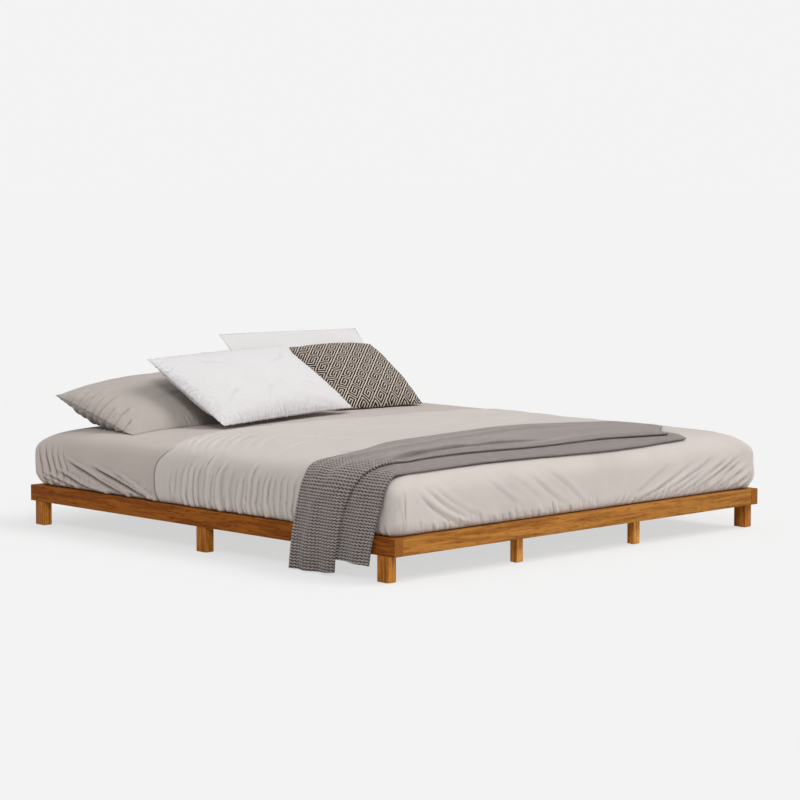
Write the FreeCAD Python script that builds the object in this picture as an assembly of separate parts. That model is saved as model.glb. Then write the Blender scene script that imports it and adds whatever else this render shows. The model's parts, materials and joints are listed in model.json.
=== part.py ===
import FreeCAD, Part
import math
import os

# Low slatted platform bed with its mattress, bed linen, throw and pillows.
# Millimetres, +Z up, +X to the right seen from the foot, +Y towards the head.
# Origin: centre of the frame's plan, on the floor.

V = FreeCAD.Vector

# ---------------------------------------------------------------- dimensions
frame_w = 2016.0        # outside width of the frame
frame_l = 2118.0        # outside length of the frame
rail_t = 40.0           # rail thickness
rail_z0 = 96.0          # underside of the rails
rail_z1 = 159.5         # top of the rails
edge_r = 1.6            # eased edges of the timber

leg_x = 38.0            # corner and side legs, across the bed
leg_y = 57.0            # corner and side legs, along the bed
leg_inset = 32.0        # corner leg back from the foot and head faces
side_leg_y = -11.0      # middle of the side legs
mid_leg = 34.0          # square legs of the centre beams
mid_leg_x = 326.0       # centre beams, left and right of the middle
mid_leg_inset = 45.0    # front face of those legs back from the foot face

glide_d = 22.0          # felt glide under each leg
glide_t = 2.0

beam_w = 44.0           # centre beams
beam_h = 26.0
ledge_t = 22.0          # slat ledges on the side rails
ledge_h = 26.0
slat_w = 70.0
slat_t = 15.0
slat_n = 13
slat_pitch = 160.0
slat_half = 963.0
web_w = 30.0            # webbing under the slats
web_t = 1.2
web_x = 640.0

bracket_leg = 50.0      # steel corner bracket
bracket_t = 3.0
bracket_h = 24.0

dowel_r = 4.0
dowel_l = 60.0
bolt_r = 4.0
screw_r = 2.0
screw_head_r = 4.0

sheet_t = 2.0           # fitted sheet
cover_t = 3.0           # top cover
cover_head_y = 262.0    # head-side edge of the top cover
mat_z0 = 137.5          # underside of the mattress, just clear of the slats
throw_t = 7.0
throw_gap = 4.5

bed_plane = 403.0       # the pillows rest on this height

# Mattress profile, half width against height, from the crown down.
prof_x = [(0, 400), (450, 399.5), (750, 395.5), (870, 388), (930, 374.5),
          (966, 354), (984, 327), (990, 290), (990, 235), (984, 200),
          (972, 178), (960.5, 167), (960.5, mat_z0)]
prof_y = [(0, 400), (500, 399.5), (800, 396), (920, 387.5), (980, 373),
          (1015, 352), (1034, 325), (1040, 290), (1040, 235), (1034, 200),
          (1022, 178), (1011.5, 167), (1011.5, mat_z0)]
plan_r = 40.0           # plan radius of the mattress corners

# Pillows: centre, width vector, height vector, thickness.
grey_l = (V(-455.5, 808.3, 462.0), V(864, 29, 16), V(-5, 472, 122), 168.0)
grey_r = (V(452.0, 875.0, 444.0), V(850, 0, 0), V(0, 420, 50), 170.0)
back_p = (V(421.0, 916.5, 558.5), V(832, 20, -24), V(-7, 297, 297), 130.0)
cushion = (V(523.7, 771.0, 524.1), V(443, -43.6, -3), V(39, 371, 238), 140.0)
white_p = (V(-196.9, 621.3, 543.6), V(832.4, 142, 6), V(-74.6, 358, 244), 150.0)
case_t = 2.5

os.makedirs("parts", exist_ok=True)


# ------------------------------------------------------------------- helpers
def box(x0, x1, y0, y1, z0, z1, r=0.0):
    b = Part.makeBox(x1 - x0, y1 - y0, z1 - z0, V(x0, y0, z0))
    if r:
        b = b.makeFillet(r, b.Edges)
    return b


def rod(p, d, length, r):
    return Part.makeCylinder(r, length, p, d)


def screw(p, d, length, r=screw_r, head=screw_head_r):
    # p is the middle of the head's flat face, d points down the shank
    cone = Part.makeCone(head, r, head - r, p, d)
    shank = Part.makeCylinder(r, length - (head - r), p + d * (head - r), d)
    return cone.fuse(shank).removeSplitter()


def group(shapes):
    return Part.makeCompound(shapes)


def save(name, shape):
    if shape.ShapeType == "Compound" and len(shape.Solids) == 1:
        shape = shape.Solids[0]
    shape.exportStep("parts/%s.step" % name)
    print("%-24s solids %2d faces %4d volume %.0f valid %s" % (
        name, len(shape.Solids), len(shape.Faces), shape.Volume, shape.isValid()))


def cut_all(shape, tools):
    for t in tools:
        if shape.BoundBox.intersect(t.BoundBox):
            shape = shape.cut(t)
    return shape


def offset_profile(prof, d):
    # Moves each point out along its own normal; the foot stays on its height.
    out = []
    n = len(prof)
    for i, (u, z) in enumerate(prof):
        a = prof[max(i - 1, 0)]
        b = prof[min(i + 1, n - 1)]
        if i == 0:
            out.append((u, z + d))
            continue
        if i == n - 1:
            out.append((u + d, z))
            continue
        tu, tz = b[0] - a[0], b[1] - a[1]
        k = math.hypot(tu, tz)
        nu, nz = -tz / k, tu / k
        if i == n - 2:
            nu, nz = 1.0, -0.6
        out.append((u + nu * d, z + nz * d))
    return out


def prism_x(prof, half):
    pts = [V(u, -half, z) for u, z in prof] + [V(-u, -half, z) for u, z in reversed(prof)]
    clean = []
    for p in pts:
        if not clean or (p - clean[-1]).Length > 1e-6:
            clean.append(p)
    clean.append(clean[0])
    return Part.Face(Part.makePolygon(clean)).extrude(V(0, 2 * half, 0))


def prism_y(prof, half):
    pts = [V(-half, u, z) for u, z in prof] + [V(-half, -u, z) for u, z in reversed(prof)]
    clean = []
    for p in pts:
        if not clean or (p - clean[-1]).Length > 1e-6:
            clean.append(p)
    clean.append(clean[0])
    return Part.Face(Part.makePolygon(clean)).extrude(V(2 * half, 0, 0))


def bedding_solid(d):
    px = offset_profile(prof_x, d)
    py = offset_profile(prof_y, d)
    a = prism_x(px, 1200.0)
    b = prism_y(py, 1200.0)
    hx = max(u for u, z in px)
    hy = max(u for u, z in py)
    plan = Part.makeBox(2 * hx, 2 * hy, 400, V(-hx, -hy, 100))
    up = [e for e in plan.Edges if abs(e.tangentAt(e.FirstParameter).z) > 0.9]
    plan = plan.makeFillet(plan_r + d, up)
    return a.common(b).common(plan)


def height_on(prof, u):
    u = abs(u)
    for (u0, z0), (u1, z1) in zip(prof, prof[1:]):
        if u <= u1 and u1 > u0:
            return z0 + (z1 - z0) * (u - u0) / (u1 - u0)
    return prof[7][1]


def solid_from_grid(top, bot, wrap_edges):
    # Closed solid between two grids of points that share no vertex, or share
    # their border when wrap_edges is False.
    faces = []

    def tri(a, b, c):
        if (a - b).Length < 1e-4 or (b - c).Length < 1e-4 or (a - c).Length < 1e-4:
            return
        if (b - a).cross(c - a).Length < 1e-5:
            return
        faces.append(Part.Face(Part.makePolygon([a, b, c, a])))

    n, m = len(top), len(top[0])
    for g, flip in ((top, False), (bot, True)):
        for i in range(n - 1):
            for j in range(m - 1):
                a, b, c, d = g[i][j], g[i + 1][j], g[i + 1][j + 1], g[i][j + 1]
                q = [(a, b, c), (a, c, d)]
                other = [(a, b, d), (b, c, d)]
                mid_ac = (a + c) * 0.5
                mid_bd = (b + d) * 0.5
                # take the diagonal that keeps the skin convex
                centre = (top[n // 2][m // 2] + bot[n // 2][m // 2]) * 0.5
                out = (g[n // 2][m // 2] - centre)
                if (mid_bd - mid_ac).dot(out) > 0:
                    q = other
                for p in q:
                    tri(*(reversed(p) if flip else p))
    if wrap_edges:
        ring_t = [top[i][0] for i in range(n)] + [top[n - 1][j] for j in range(1, m)] \
            + [top[i][m - 1] for i in range(n - 2, -1, -1)] + [top[0][j] for j in range(m - 2, 0, -1)]
        ring_b = [bot[i][0] for i in range(n)] + [bot[n - 1][j] for j in range(1, m)] \
            + [bot[i][m - 1] for i in range(n - 2, -1, -1)] + [bot[0][j] for j in range(m - 2, 0, -1)]
        k = len(ring_t)
        for i in range(k):
            a, b = ring_t[i], ring_t[(i + 1) % k]
            c, d = ring_b[(i + 1) % k], ring_b[i]
            tri(a, b, c)
            tri(a, c, d)
    shell = Part.Shell(faces)
    shell.sewShape()
    s = Part.Solid(shell)
    if s.Volume < 0:
        s.reverse()
    return s


def lens(spec, shrink=0.0, nu=10, nv=6):
    c, e, t, th = spec
    el, tl = e.Length, t.Length
    e = e * ((el - 2 * shrink) / el)
    t = t * ((tl - 2 * shrink) / tl)
    th = th - 2 * shrink
    n = V(e).cross(t)
    n.normalize()
    top, bot = [], []
    for i in range(nu + 1):
        u = -math.cos(math.pi * i / nu)
        rt, rb = [], []
        for j in range(nv + 1):
            v = -math.cos(math.pi * j / nv)
            h = 0.5 * th * math.sqrt(max(0.0, (1 - u * u) * (1 - v * v)))
            p = c + e * (u / 2) + t * (v / 2)
            rt.append(p + n * h)
            rb.append(p - n * h)
        top.append(rt)
        bot.append(rb)
    return solid_from_grid(top, bot, False)


def trim(shape, point, normal):
    # keeps the side that the normal points to
    n = V(normal)
    n.normalize()
    size = 4000.0
    b = Part.makeBox(size, size, size, V(-size / 2, -size / 2, 0))
    rot = FreeCAD.Rotation(V(0, 0, 1), n)
    b.Placement = FreeCAD.Placement(point, rot)
    return shape.common(b)


# --------------------------------------------------------------------- frame
hw, hl = frame_w / 2, frame_l / 2
ix, iy = hw - rail_t, hl - rail_t

side_l = box(-hw, -ix, -hl, hl, rail_z0, rail_z1, edge_r)
side_r = box(ix, hw, -hl, hl, rail_z0, rail_z1, edge_r)
foot = box(-ix, ix, -hl, -iy, rail_z0, rail_z1, edge_r)
head = box(-ix, ix, iy, hl, rail_z0, rail_z1, edge_r)

legs = {}
y_out = hl - leg_inset
for sx, sn in ((-1, "left"), (1, "right")):
    xa, xb = sorted((sx * hw, sx * (hw - leg_x)))
    for sy, yn in ((-1, "foot"), (1, "head")):
        ya, yb = sorted((sy * y_out, sy * (y_out - leg_y)))
        legs["leg_%s_%s" % (yn, sn)] = (xa, xb, ya, yb)
    legs["leg_side_%s" % sn] = (xa, xb, side_leg_y - leg_y / 2, side_leg_y + leg_y / 2)
    cx = sx * mid_leg_x
    for cy, yn in ((-(hl - mid_leg_inset - mid_leg / 2), "foot"), (0.0, "middle"),
                   (hl - mid_leg_inset - mid_leg / 2, "head")):
        legs["beam_leg_%s_%s" % (yn, sn)] = (cx - mid_leg / 2, cx + mid_leg / 2,
                                             cy - mid_leg / 2, cy + mid_leg / 2)

# hanger bolts run up through each leg into the rail or beam above it
bolts, glides = [], []
for name, (xa, xb, ya, yb) in legs.items():
    cx, cy = (xa + xb) / 2, (ya + yb) / 2
    top = 118.0 if name.startswith("beam") else 136.0
    bolts.append(rod(V(cx, cy, 56.0), V(0, 0, 1), top - 56.0, bolt_r))
    glides.append(rod(V(cx, cy, 0), V(0, 0, 1), glide_t, glide_d / 2))

# dowels in the corner joints
dowels = []
for sx in (-1, 1):
    for sy in (-1, 1):
        for z in (113.0, 143.0):
            x0 = sx * (ix + 20.0)
            dowels.append(rod(V(x0, sy * (hl - rail_t / 2), z), V(-sx, 0, 0), dowel_l, dowel_r))

# ledges that carry the slats, stopped short of the corner brackets
ledge_y = iy - bracket_leg - 12.0
ledges = {}
ledge_screws = []
for sx, sn in ((-1, "left"), (1, "right")):
    xa, xb = sorted((sx * ix, sx * (ix - ledge_t)))
    ledges[sn] = box(xa, xb, -ledge_y, ledge_y, rail_z0, rail_z0 + ledge_h, 0.8)
    for k in range(9):
        y = -880.0 + k * 220.0
        ledge_screws.append(screw(V(sx * (ix - ledge_t), y, rail_z0 + 12.0), V(sx, 0, 0), 40.0))

# centre beams
beams = {}
for sx, sn in ((-1, "left"), (1, "right")):
    cx = sx * mid_leg_x
    beams[sn] = box(cx - beam_w / 2, cx + beam_w / 2, -iy, iy, rail_z0, rail_z0 + beam_h, 0.8)

# steel corner brackets and the angles at the ends of the beams
bz0 = rail_z0 + 3.0
corner = {}
plate_screws = []
for sx, sn in ((-1, "left"), (1, "right")):
    for sy, yn in ((-1, "foot"), (1, "head")):
        xa, xb = sorted((sx * ix, sx * (ix - bracket_t)))
        ya, yb = sorted((sy * iy, sy * (iy - bracket_leg)))
        p = box(xa, xb, ya, yb, bz0, bz0 + bracket_h)
        xc, xd = sorted((sx * ix, sx * (ix - bracket_leg)))
        yc, yd = sorted((sy * iy, sy * (iy - bracket_t)))
        q = box(xc, xd, yc, yd, bz0, bz0 + bracket_h)
        b = p.fuse(q).removeSplitter()
        ss = []
        for k in (22.0, 40.0):
            ss.append(screw(V(sx * (ix - bracket_t), sy * (iy - k), bz0 + bracket_h / 2), V(sx, 0, 0), 16.0))
            ss.append(screw(V(sx * (ix - k), sy * (iy - bracket_t), bz0 + bracket_h / 2), V(0, sy, 0), 16.0))
        corner["corner_bracket_%s_%s" % (yn, sn)] = cut_all(b, ss)
        plate_screws += ss

beam_angles = []
for sx in (-1, 1):
    for sy in (-1, 1):
        xs = sx * (mid_leg_x + beam_w / 2)
        xa, xb = sorted((xs, xs + sx * bracket_t))
        ya, yb = sorted((sy * iy, sy * (iy - 34.0)))
        p = box(xa, xb, ya, yb, rail_z0 + 3, rail_z0 + 23)
        xc, xd = sorted((xs, xs + sx * 34.0))
        yc, yd = sorted((sy * iy, sy * (iy - bracket_t)))
        q = box(xc, xd, yc, yd, rail_z0 + 3, rail_z0 + 23)
        b = p.fuse(q).removeSplitter()
        ss = [screw(V(xs + sx * bracket_t, sy * (iy - 22.0), rail_z0 + 13), V(-sx, 0, 0), 20.0),
              screw(V(xs + sx * 22.0, sy * (iy - bracket_t), rail_z0 + 13), V(0, sy, 0), 20.0)]
        beam_angles.append(cut_all(b, ss))
        plate_screws += ss

# slats on two lines of webbing, the end slats screwed down to the ledges
z_slat = rail_z0 + ledge_h
slats, slat_screws, webs = [], [], []
for k in range(slat_n):
    y = (k - (slat_n - 1) / 2) * slat_pitch
    slats.append(box(-slat_half, slat_half, y - slat_w / 2, y + slat_w / 2,
                     z_slat, z_slat + slat_t, 1.2))
for k in (0, slat_n - 1):
    y = (k - (slat_n - 1) / 2) * slat_pitch
    for sx in (-1, 1):
        slat_screws.append(screw(V(sx * (ix - 11.0), max(min(y, ledge_y - 12), -ledge_y + 12),
                                   z_slat + slat_t), V(0, 0, -1), 32.0))
for sx in (-1, 1):
    webs.append(box(sx * web_x - web_w / 2, sx * web_x + web_w / 2, -995.0, 995.0,
                    z_slat - web_t, z_slat))

hidden = bolts + dowels + ledge_screws + plate_screws + slat_screws
save("side_rail_left", cut_all(side_l, hidden))
save("side_rail_right", cut_all(side_r, hidden))
save("head_rail", cut_all(head, hidden))
save("foot_rail", cut_all(foot, hidden))
for name, (xa, xb, ya, yb) in legs.items():
    r = edge_r
    save(name, cut_all(box(xa, xb, ya, yb, glide_t, rail_z0, r), bolts))
for sn in ("left", "right"):
    save("slat_ledge_" + sn, cut_all(ledges[sn], hidden))
    save("centre_beam_" + sn, cut_all(beams[sn], hidden))
for name, s in corner.items():
    save(name, s)
save("beam_angles", group(beam_angles))
for k, s in enumerate(slats):
    save("slat_%02d" % (k + 1), cut_all(s, slat_screws))
save("slat_webbing", group(webs))
save("floor_glides", group(glides))
save("leg_bolts", group(bolts))
save("rail_dowels", group(dowels))
save("wood_screws", group(ledge_screws + plate_screws + slat_screws))

# ----------------------------------------------------------- mattress, linen
core = bedding_solid(0.0)
skin1 = bedding_solid(sheet_t)
skin2 = bedding_solid(sheet_t + cover_t)
open_low = Part.makeBox(3000, 3000, 600, V(-1500, -1500, mat_z0 + 1.0))
foot_side = Part.makeBox(3000, 3000, 600, V(-1500, cover_head_y - 3000, mat_z0 + 1.0))
save("mattress", core)
save("fitted_sheet", skin1.cut(core).common(open_low))
save("top_cover", skin2.cut(skin1).common(foot_side))

# --------------------------------------------------------------------- throw
# Stations along the throw: (x or height, head-side y, foot-side y).  The first
# ones hang outside the left side rail, the rest lie across the foot of the bed.
skin_x = offset_profile(prof_x, sheet_t + cover_t)
skin_y = offset_profile(prof_y, sheet_t + cover_t)
hang_x = -(hw + 3.0)
hang = [((7.0, 50.0), -570.0, -957.0), ((140.0, 150.0), -566.0, -968.0),
        ((240.0, 240.0), -566.0, -990.0), ((300.0, 300.0), -566.0, -1000.0),
        ((340.0, 335.0), -570.0, -1004.0)]
lying = [(-990, -576, -1002), (-960, -590, -985), (-934, -597, -971), (-915, -600, -960), (-874, -592, -937),
         (-850, -585, -925), (-740, -540, -893),
         (-600, -490, -888), (-450, -435, -905), (-300, -396, -938), (-100, -360, -975),
         (100, -340, -1000), (300, -324, -985), (480, -365, -955), (620, -415, -935),
         (740, -480, -918), (820, -600, -840)]
mt = 10
bot, top = [], []
for (z0, z1), ya, yb in hang:
    rb, rt = [], []
    for j in range(mt + 1):
        f = j / mt
        y = ya + (yb - ya) * f
        z = z0 + (z1 - z0) * f
        rb.append(V(hang_x, y, z))
        rt.append(V(hang_x - throw_t, y, z))
    bot.append(rb)
    top.append(rt)


def bed_top(x, y, d=0.0):
    return min(height_on(skin_x, x), height_on(skin_y, y)) + d


for x, ya, yb in lying:
    rb, rt = [], []
    for j in range(mt + 1):
        f = j / mt
        y = ya + (yb - ya) * f
        xx = x
        if abs(x) > 955:
            z = {-990: 353.0, -960: 370.0}[x]
            z = min(z, bed_top(0, y) + throw_gap + 2)
        else:
            # a little more room where it bridges the foot edge's curve
            z = bed_top(x, y) + throw_gap + 3.0 * min(1.0, max(0.0, (-y - 930.0) / 40.0))
        k = {-990: (-0.94, 0.34), -960: (-0.75, 0.66), -934: (-0.6, 0.8), -915: (-0.5, 0.87),
             -874: (-0.3, 0.95), -850: (-0.2, 0.98)}.get(x, (0, 1))
        rb.append(V(xx, y, z))
        rt.append(V(xx + k[0] * throw_t, y, z + k[1] * throw_t))
    bot.append(rb)
    top.append(rt)
throw = solid_from_grid(top, bot, True)
save("throw_blanket", throw)

# ------------------------------------------------------------------- pillows
up = V(0, 0, 1)
n_w = V(white_p[1]).cross(white_p[2])
n_w.normalize()
gap = 0.6
p_cb, n_cb = V(0, 830, 530), V(0, -0.629, 0.777)        # cushion and white / back pillow
p_gb = V(0, 768, 410) - V(0, -0.7071, 0.7071) * 65.0     # back pillow / grey on the right
n_gb = V(0, -0.7071, 0.7071)
x_gb = -10.0                                             # grey on the left / back pillow
x_wc = 268.0                                             # white / cushion


def pillow(name, spec, planes):
    body = lens(spec)
    core_ = lens(spec, case_t)
    for p, n in planes:
        n = V(n)
        n.normalize()
        body = trim(body, p + n * gap, n)
        core_ = trim(core_, p + n * (gap + case_t), n)
    save(name + "_case", body.cut(core_))
    save(name + "_insert", core_)
    return body


bed = (V(0, 0, bed_plane), up)
pillow("grey_pillow_left", grey_l, [bed, (white_p[0] - n_w * 62.0, n_w * -1), (V(x_gb, 0, 0), V(-1, 0, 0))])
pillow("grey_pillow_right", grey_r, [bed, (p_gb, n_gb * -1), (V(x_gb, 0, 0), V(1, 0, 0))])
pillow("back_pillow", back_p, [bed, (p_gb, n_gb), (p_cb, n_cb * -1), (V(x_gb, 0, 0), V(1, 0, 0))])
pillow("patterned_cushion", cushion, [bed, (p_cb, n_cb), (V(x_wc, 0, 0), V(1, 0, 0))])
pillow("white_pillow", white_p, [bed, (p_cb, n_cb), (white_p[0] - n_w * 62.0, n_w), (V(x_wc, 0, 0), V(-1, 0, 0))])
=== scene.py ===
import bpy
import math
import json
import numpy as np
from mathutils import Vector, Matrix
from mathutils.bvhtree import BVHTree

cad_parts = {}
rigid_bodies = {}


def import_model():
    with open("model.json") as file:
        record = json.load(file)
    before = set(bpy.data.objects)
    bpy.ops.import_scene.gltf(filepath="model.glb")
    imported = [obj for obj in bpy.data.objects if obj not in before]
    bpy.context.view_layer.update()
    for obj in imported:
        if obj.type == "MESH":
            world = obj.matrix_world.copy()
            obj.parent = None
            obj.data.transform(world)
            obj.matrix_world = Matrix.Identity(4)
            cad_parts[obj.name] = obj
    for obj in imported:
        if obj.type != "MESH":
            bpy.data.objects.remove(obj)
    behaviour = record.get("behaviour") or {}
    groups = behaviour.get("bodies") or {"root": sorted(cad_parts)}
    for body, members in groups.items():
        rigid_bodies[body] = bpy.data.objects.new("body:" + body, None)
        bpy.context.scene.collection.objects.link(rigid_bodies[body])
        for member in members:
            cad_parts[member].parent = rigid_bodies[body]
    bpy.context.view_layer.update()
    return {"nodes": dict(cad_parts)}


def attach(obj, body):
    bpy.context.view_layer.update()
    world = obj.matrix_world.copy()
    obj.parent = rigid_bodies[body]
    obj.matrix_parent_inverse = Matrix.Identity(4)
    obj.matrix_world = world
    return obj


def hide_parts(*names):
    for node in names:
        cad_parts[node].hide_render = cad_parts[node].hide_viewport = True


# Low slatted platform bed, dressed with a fitted sheet, a flat top cover, a
# knitted throw and five pillows. Metres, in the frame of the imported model.

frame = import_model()
NODES = frame["nodes"]
scene = bpy.context.scene


# =============================================================== camera, stage
def make_camera():
    cam = bpy.data.cameras.new("camera")
    cam.lens = 120.863
    cam.sensor_width = 36.0
    cam.sensor_fit = "HORIZONTAL"
    cam.clip_end = 200.0
    ob = bpy.data.objects.new("camera", cam)
    ob.location = (-7.42922, -7.71362, 1.53409)
    ob.rotation_euler = (math.radians(90 - 5.474), 0.0, -math.radians(44.0913))
    scene.collection.objects.link(ob)
    scene.camera = ob


make_camera()
scene.view_settings.view_transform = "Standard"
scene.view_settings.look = "None"

BACK = 0.8996         # the pale surround, in linear light
SUN_DIR = Vector((0.46, -0.38, 0.80)).normalized()
SUN_E = 1.75
FILL_DIR = Vector((-0.50, -0.62, 0.60)).normalized()
FILL_E = 1.05


def make_light():
    for name, way, e, angle in (("key", SUN_DIR, SUN_E, 32), ("fill", FILL_DIR, FILL_E, 16)):
        sun = bpy.data.lights.new(name, "SUN")
        sun.energy = e
        sun.angle = math.radians(angle)
        sun.color = (1.0, 0.985, 0.97)
        ob = bpy.data.objects.new(name, sun)
        ob.rotation_euler = way.to_track_quat("Z", "Y").to_euler()
        scene.collection.objects.link(ob)
    w = bpy.data.worlds.new("studio")
    scene.world = w
    w.use_nodes = True
    nt = w.node_tree
    nt.nodes.clear()
    out = nt.nodes.new("ShaderNodeOutputWorld")
    mix = nt.nodes.new("ShaderNodeMixShader")
    path = nt.nodes.new("ShaderNodeLightPath")
    seen = nt.nodes.new("ShaderNodeBackground")
    seen.inputs["Color"].default_value = (BACK, BACK, BACK, 1)
    lit = nt.nodes.new("ShaderNodeBackground")
    tex = nt.nodes.new("ShaderNodeTexCoord")
    dot = nt.nodes.new("ShaderNodeVectorMath")
    dot.operation = "DOT_PRODUCT"
    k = Vector((0.15, -0.15, 0.95)).normalized()
    dot.inputs[1].default_value = tuple(k)
    ramp = nt.nodes.new("ShaderNodeMapRange")
    ramp.interpolation_type = "SMOOTHSTEP"
    ramp.inputs["From Min"].default_value = -0.5
    ramp.inputs["From Max"].default_value = 1.0
    ramp.inputs["To Min"].default_value = 0.20
    ramp.inputs["To Max"].default_value = 0.64
    nt.links.new(tex.outputs["Generated"], dot.inputs[0])
    nt.links.new(dot.outputs["Value"], ramp.inputs["Value"])
    nt.links.new(ramp.outputs["Result"], lit.inputs["Strength"])
    lit.inputs["Color"].default_value = (0.985, 0.992, 1.0, 1)
    nt.links.new(path.outputs["Is Camera Ray"], mix.inputs["Fac"])
    nt.links.new(lit.outputs[0], mix.inputs[1])
    nt.links.new(seen.outputs[0], mix.inputs[2])
    nt.links.new(mix.outputs[0], out.inputs["Surface"])


make_light()


def make_floor():
    me = bpy.data.meshes.new("floor")
    s = 60.0
    me.from_pydata([(-s, -s, 0), (s, -s, 0), (s, s, 0), (-s, s, 0)], [], [(0, 1, 2, 3)])
    ob = bpy.data.objects.new("floor", me)
    scene.collection.objects.link(ob)
    m = bpy.data.materials.new("floor_pale")
    m.use_nodes = True
    nt = m.node_tree
    nt.nodes.clear()
    out = nt.nodes.new("ShaderNodeOutputMaterial")
    dif = nt.nodes.new("ShaderNodeBsdfDiffuse")
    dif.inputs["Color"].default_value = (FLOOR, FLOOR, FLOOR, 1)
    pale = nt.nodes.new("ShaderNodeEmission")
    pale.inputs["Color"].default_value = (0.885, 0.885, 0.8855, 1)
    path = nt.nodes.new("ShaderNodeLightPath")
    part = nt.nodes.new("ShaderNodeMath")
    part.operation = "MULTIPLY"
    part.inputs[1].default_value = 0.70
    nt.links.new(path.outputs["Is Camera Ray"], part.inputs[0])
    mix = nt.nodes.new("ShaderNodeMixShader")
    nt.links.new(part.outputs[0], mix.inputs["Fac"])
    nt.links.new(dif.outputs[0], mix.inputs[1])
    nt.links.new(pale.outputs[0], mix.inputs[2])
    nt.links.new(mix.outputs[0], out.inputs["Surface"])
    me.materials.append(m)


FLOOR = 0.775
make_floor()


# ====================================================================== numbers
_r = np.random.RandomState(11)
_PERM = _r.permutation(256)
_PERM = np.concatenate([_PERM, _PERM, _PERM])
_GRAD = _r.normal(size=(256, 3))
_GRAD /= np.linalg.norm(_GRAD, axis=1)[:, None]


def noise3(x, y, z=0.0, seed=0):
    """Smooth gradient noise, about -0.7 to 0.7."""
    x = np.asarray(x, float) + seed * 37.17
    y = np.asarray(y, float) + seed * 11.73
    z = np.asarray(z, float) + np.zeros_like(x) + seed * 5.31
    xi, yi, zi = (np.floor(v).astype(np.int64) for v in (x, y, z))
    xf, yf, zf = x - xi, y - yi, z - zi
    u, v, w = (t * t * t * (t * (t * 6 - 15) + 10) for t in (xf, yf, zf))

    def g(a, b, c):
        h = _PERM[(_PERM[(_PERM[(xi + a) & 255] + yi + b) & 255] + zi + c) & 255]
        gr = _GRAD[h]
        return gr[..., 0] * (xf - a) + gr[..., 1] * (yf - b) + gr[..., 2] * (zf - c)

    x00 = g(0, 0, 0) * (1 - u) + g(1, 0, 0) * u
    x10 = g(0, 1, 0) * (1 - u) + g(1, 1, 0) * u
    x01 = g(0, 0, 1) * (1 - u) + g(1, 0, 1) * u
    x11 = g(0, 1, 1) * (1 - u) + g(1, 1, 1) * u
    y0 = x00 * (1 - v) + x10 * v
    y1 = x01 * (1 - v) + x11 * v
    return y0 * (1 - w) + y1 * w


def fbm(x, y, z=0.0, seed=0, octaves=3, gain=0.5):
    out, a, f = 0.0, 1.0, 1.0
    for k in range(octaves):
        out = out + a * noise3(x * f, y * f, z * f, seed + k * 3)
        a *= gain
        f *= 2.03
    return out


def sstep(a, b, x):
    t = np.clip((np.asarray(x, float) - a) / (b - a), 0, 1)
    return t * t * (3 - 2 * t)


def hill(a, b, c, d, x):
    return sstep(a, b, x) * (1 - sstep(c, d, x))


def catmull(keys, vals, x):
    """Smooth curve through (keys, vals), read at x. vals may have columns."""
    keys = np.asarray(keys, float)
    vals = np.asarray(vals, float)
    if vals.ndim == 1:
        vals = vals[:, None]
    n = len(keys)
    slope = np.zeros_like(vals)
    d = (vals[1:] - vals[:-1]) / (keys[1:] - keys[:-1])[:, None]
    h = keys[1:] - keys[:-1]
    slope[0], slope[-1] = d[0], d[-1]
    slope[1:-1] = (d[:-1] * h[1:, None] + d[1:] * h[:-1, None]) / (h[1:] + h[:-1])[:, None]
    x = np.clip(np.asarray(x, float), keys[0], keys[-1])
    i = np.clip(np.searchsorted(keys, x, side="right") - 1, 0, n - 2)
    t = ((x - keys[i]) / h[i])[..., None]
    h_ = h[i][..., None]
    p0, p1, m0, m1 = vals[i], vals[i + 1], slope[i] * h_, slope[i + 1] * h_
    out = (2 * t**3 - 3 * t**2 + 1) * p0 + (t**3 - 2 * t**2 + t) * m0 \
        + (-2 * t**3 + 3 * t**2) * p1 + (t**3 - t**2) * m1
    return out[..., 0] if out.shape[-1] == 1 else out


def crease(a, b, pts, width, depth, ridge=0.75, taper=0.25, blunt=(False, False)):
    """A fold drawn along a line of points in the (a, b) plane: a narrow valley
    with a rounded ridge beside it. Positive is outwards."""
    pts = np.asarray(pts, float)
    if len(pts) > 3:
        cum = np.r_[0, np.cumsum(np.hypot(*(pts[1:] - pts[:-1]).T))]
        pts = catmull(cum, pts, np.linspace(0, cum[-1], 3 * len(pts)))
    out = np.zeros_like(a)
    reach = abs(width) * 5
    near = (a > pts[:, 0].min() - reach) & (a < pts[:, 0].max() + reach) \
        & (b > pts[:, 1].min() - reach) & (b < pts[:, 1].max() + reach)
    if not near.any():
        return out
    p = np.stack([a[near], b[near]], 1)
    best = np.full(len(p), 1e9)
    side = np.zeros(len(p))
    along = np.zeros(len(p))
    seg = np.linalg.norm(pts[1:] - pts[:-1], axis=1)
    total = seg.sum()
    run = 0.0
    for k in range(len(pts) - 1):
        v = pts[k + 1] - pts[k]
        raw = ((p - pts[k]) @ v) / (v @ v)
        t = np.clip(raw, 0, 1)
        c = pts[k] + t[:, None] * v
        d = np.linalg.norm(p - c, axis=1)
        s = np.sign(v[0] * (p[:, 1] - pts[k][1]) - v[1] * (p[:, 0] - pts[k][0]))
        better = d < best
        best[better], side[better] = d[better], s[better]
        along[better] = (run + t[better] * seg[k]) / total
        run += seg[k]
    sd = best * side
    env = np.ones(len(p))
    if not blunt[0]:
        env *= sstep(0.0, taper, along)
    if not blunt[1]:
        env *= 1 - sstep(1 - taper, 1.0, along)
    w = abs(width)
    sgn = 1.0 if width > 0 else -1.0
    shape = -np.exp(-(sd / w) ** 2) + ridge * np.exp(-((sd * sgn - 1.9 * w) / (1.35 * w)) ** 2)
    out[near] = depth * env * shape
    return out


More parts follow.
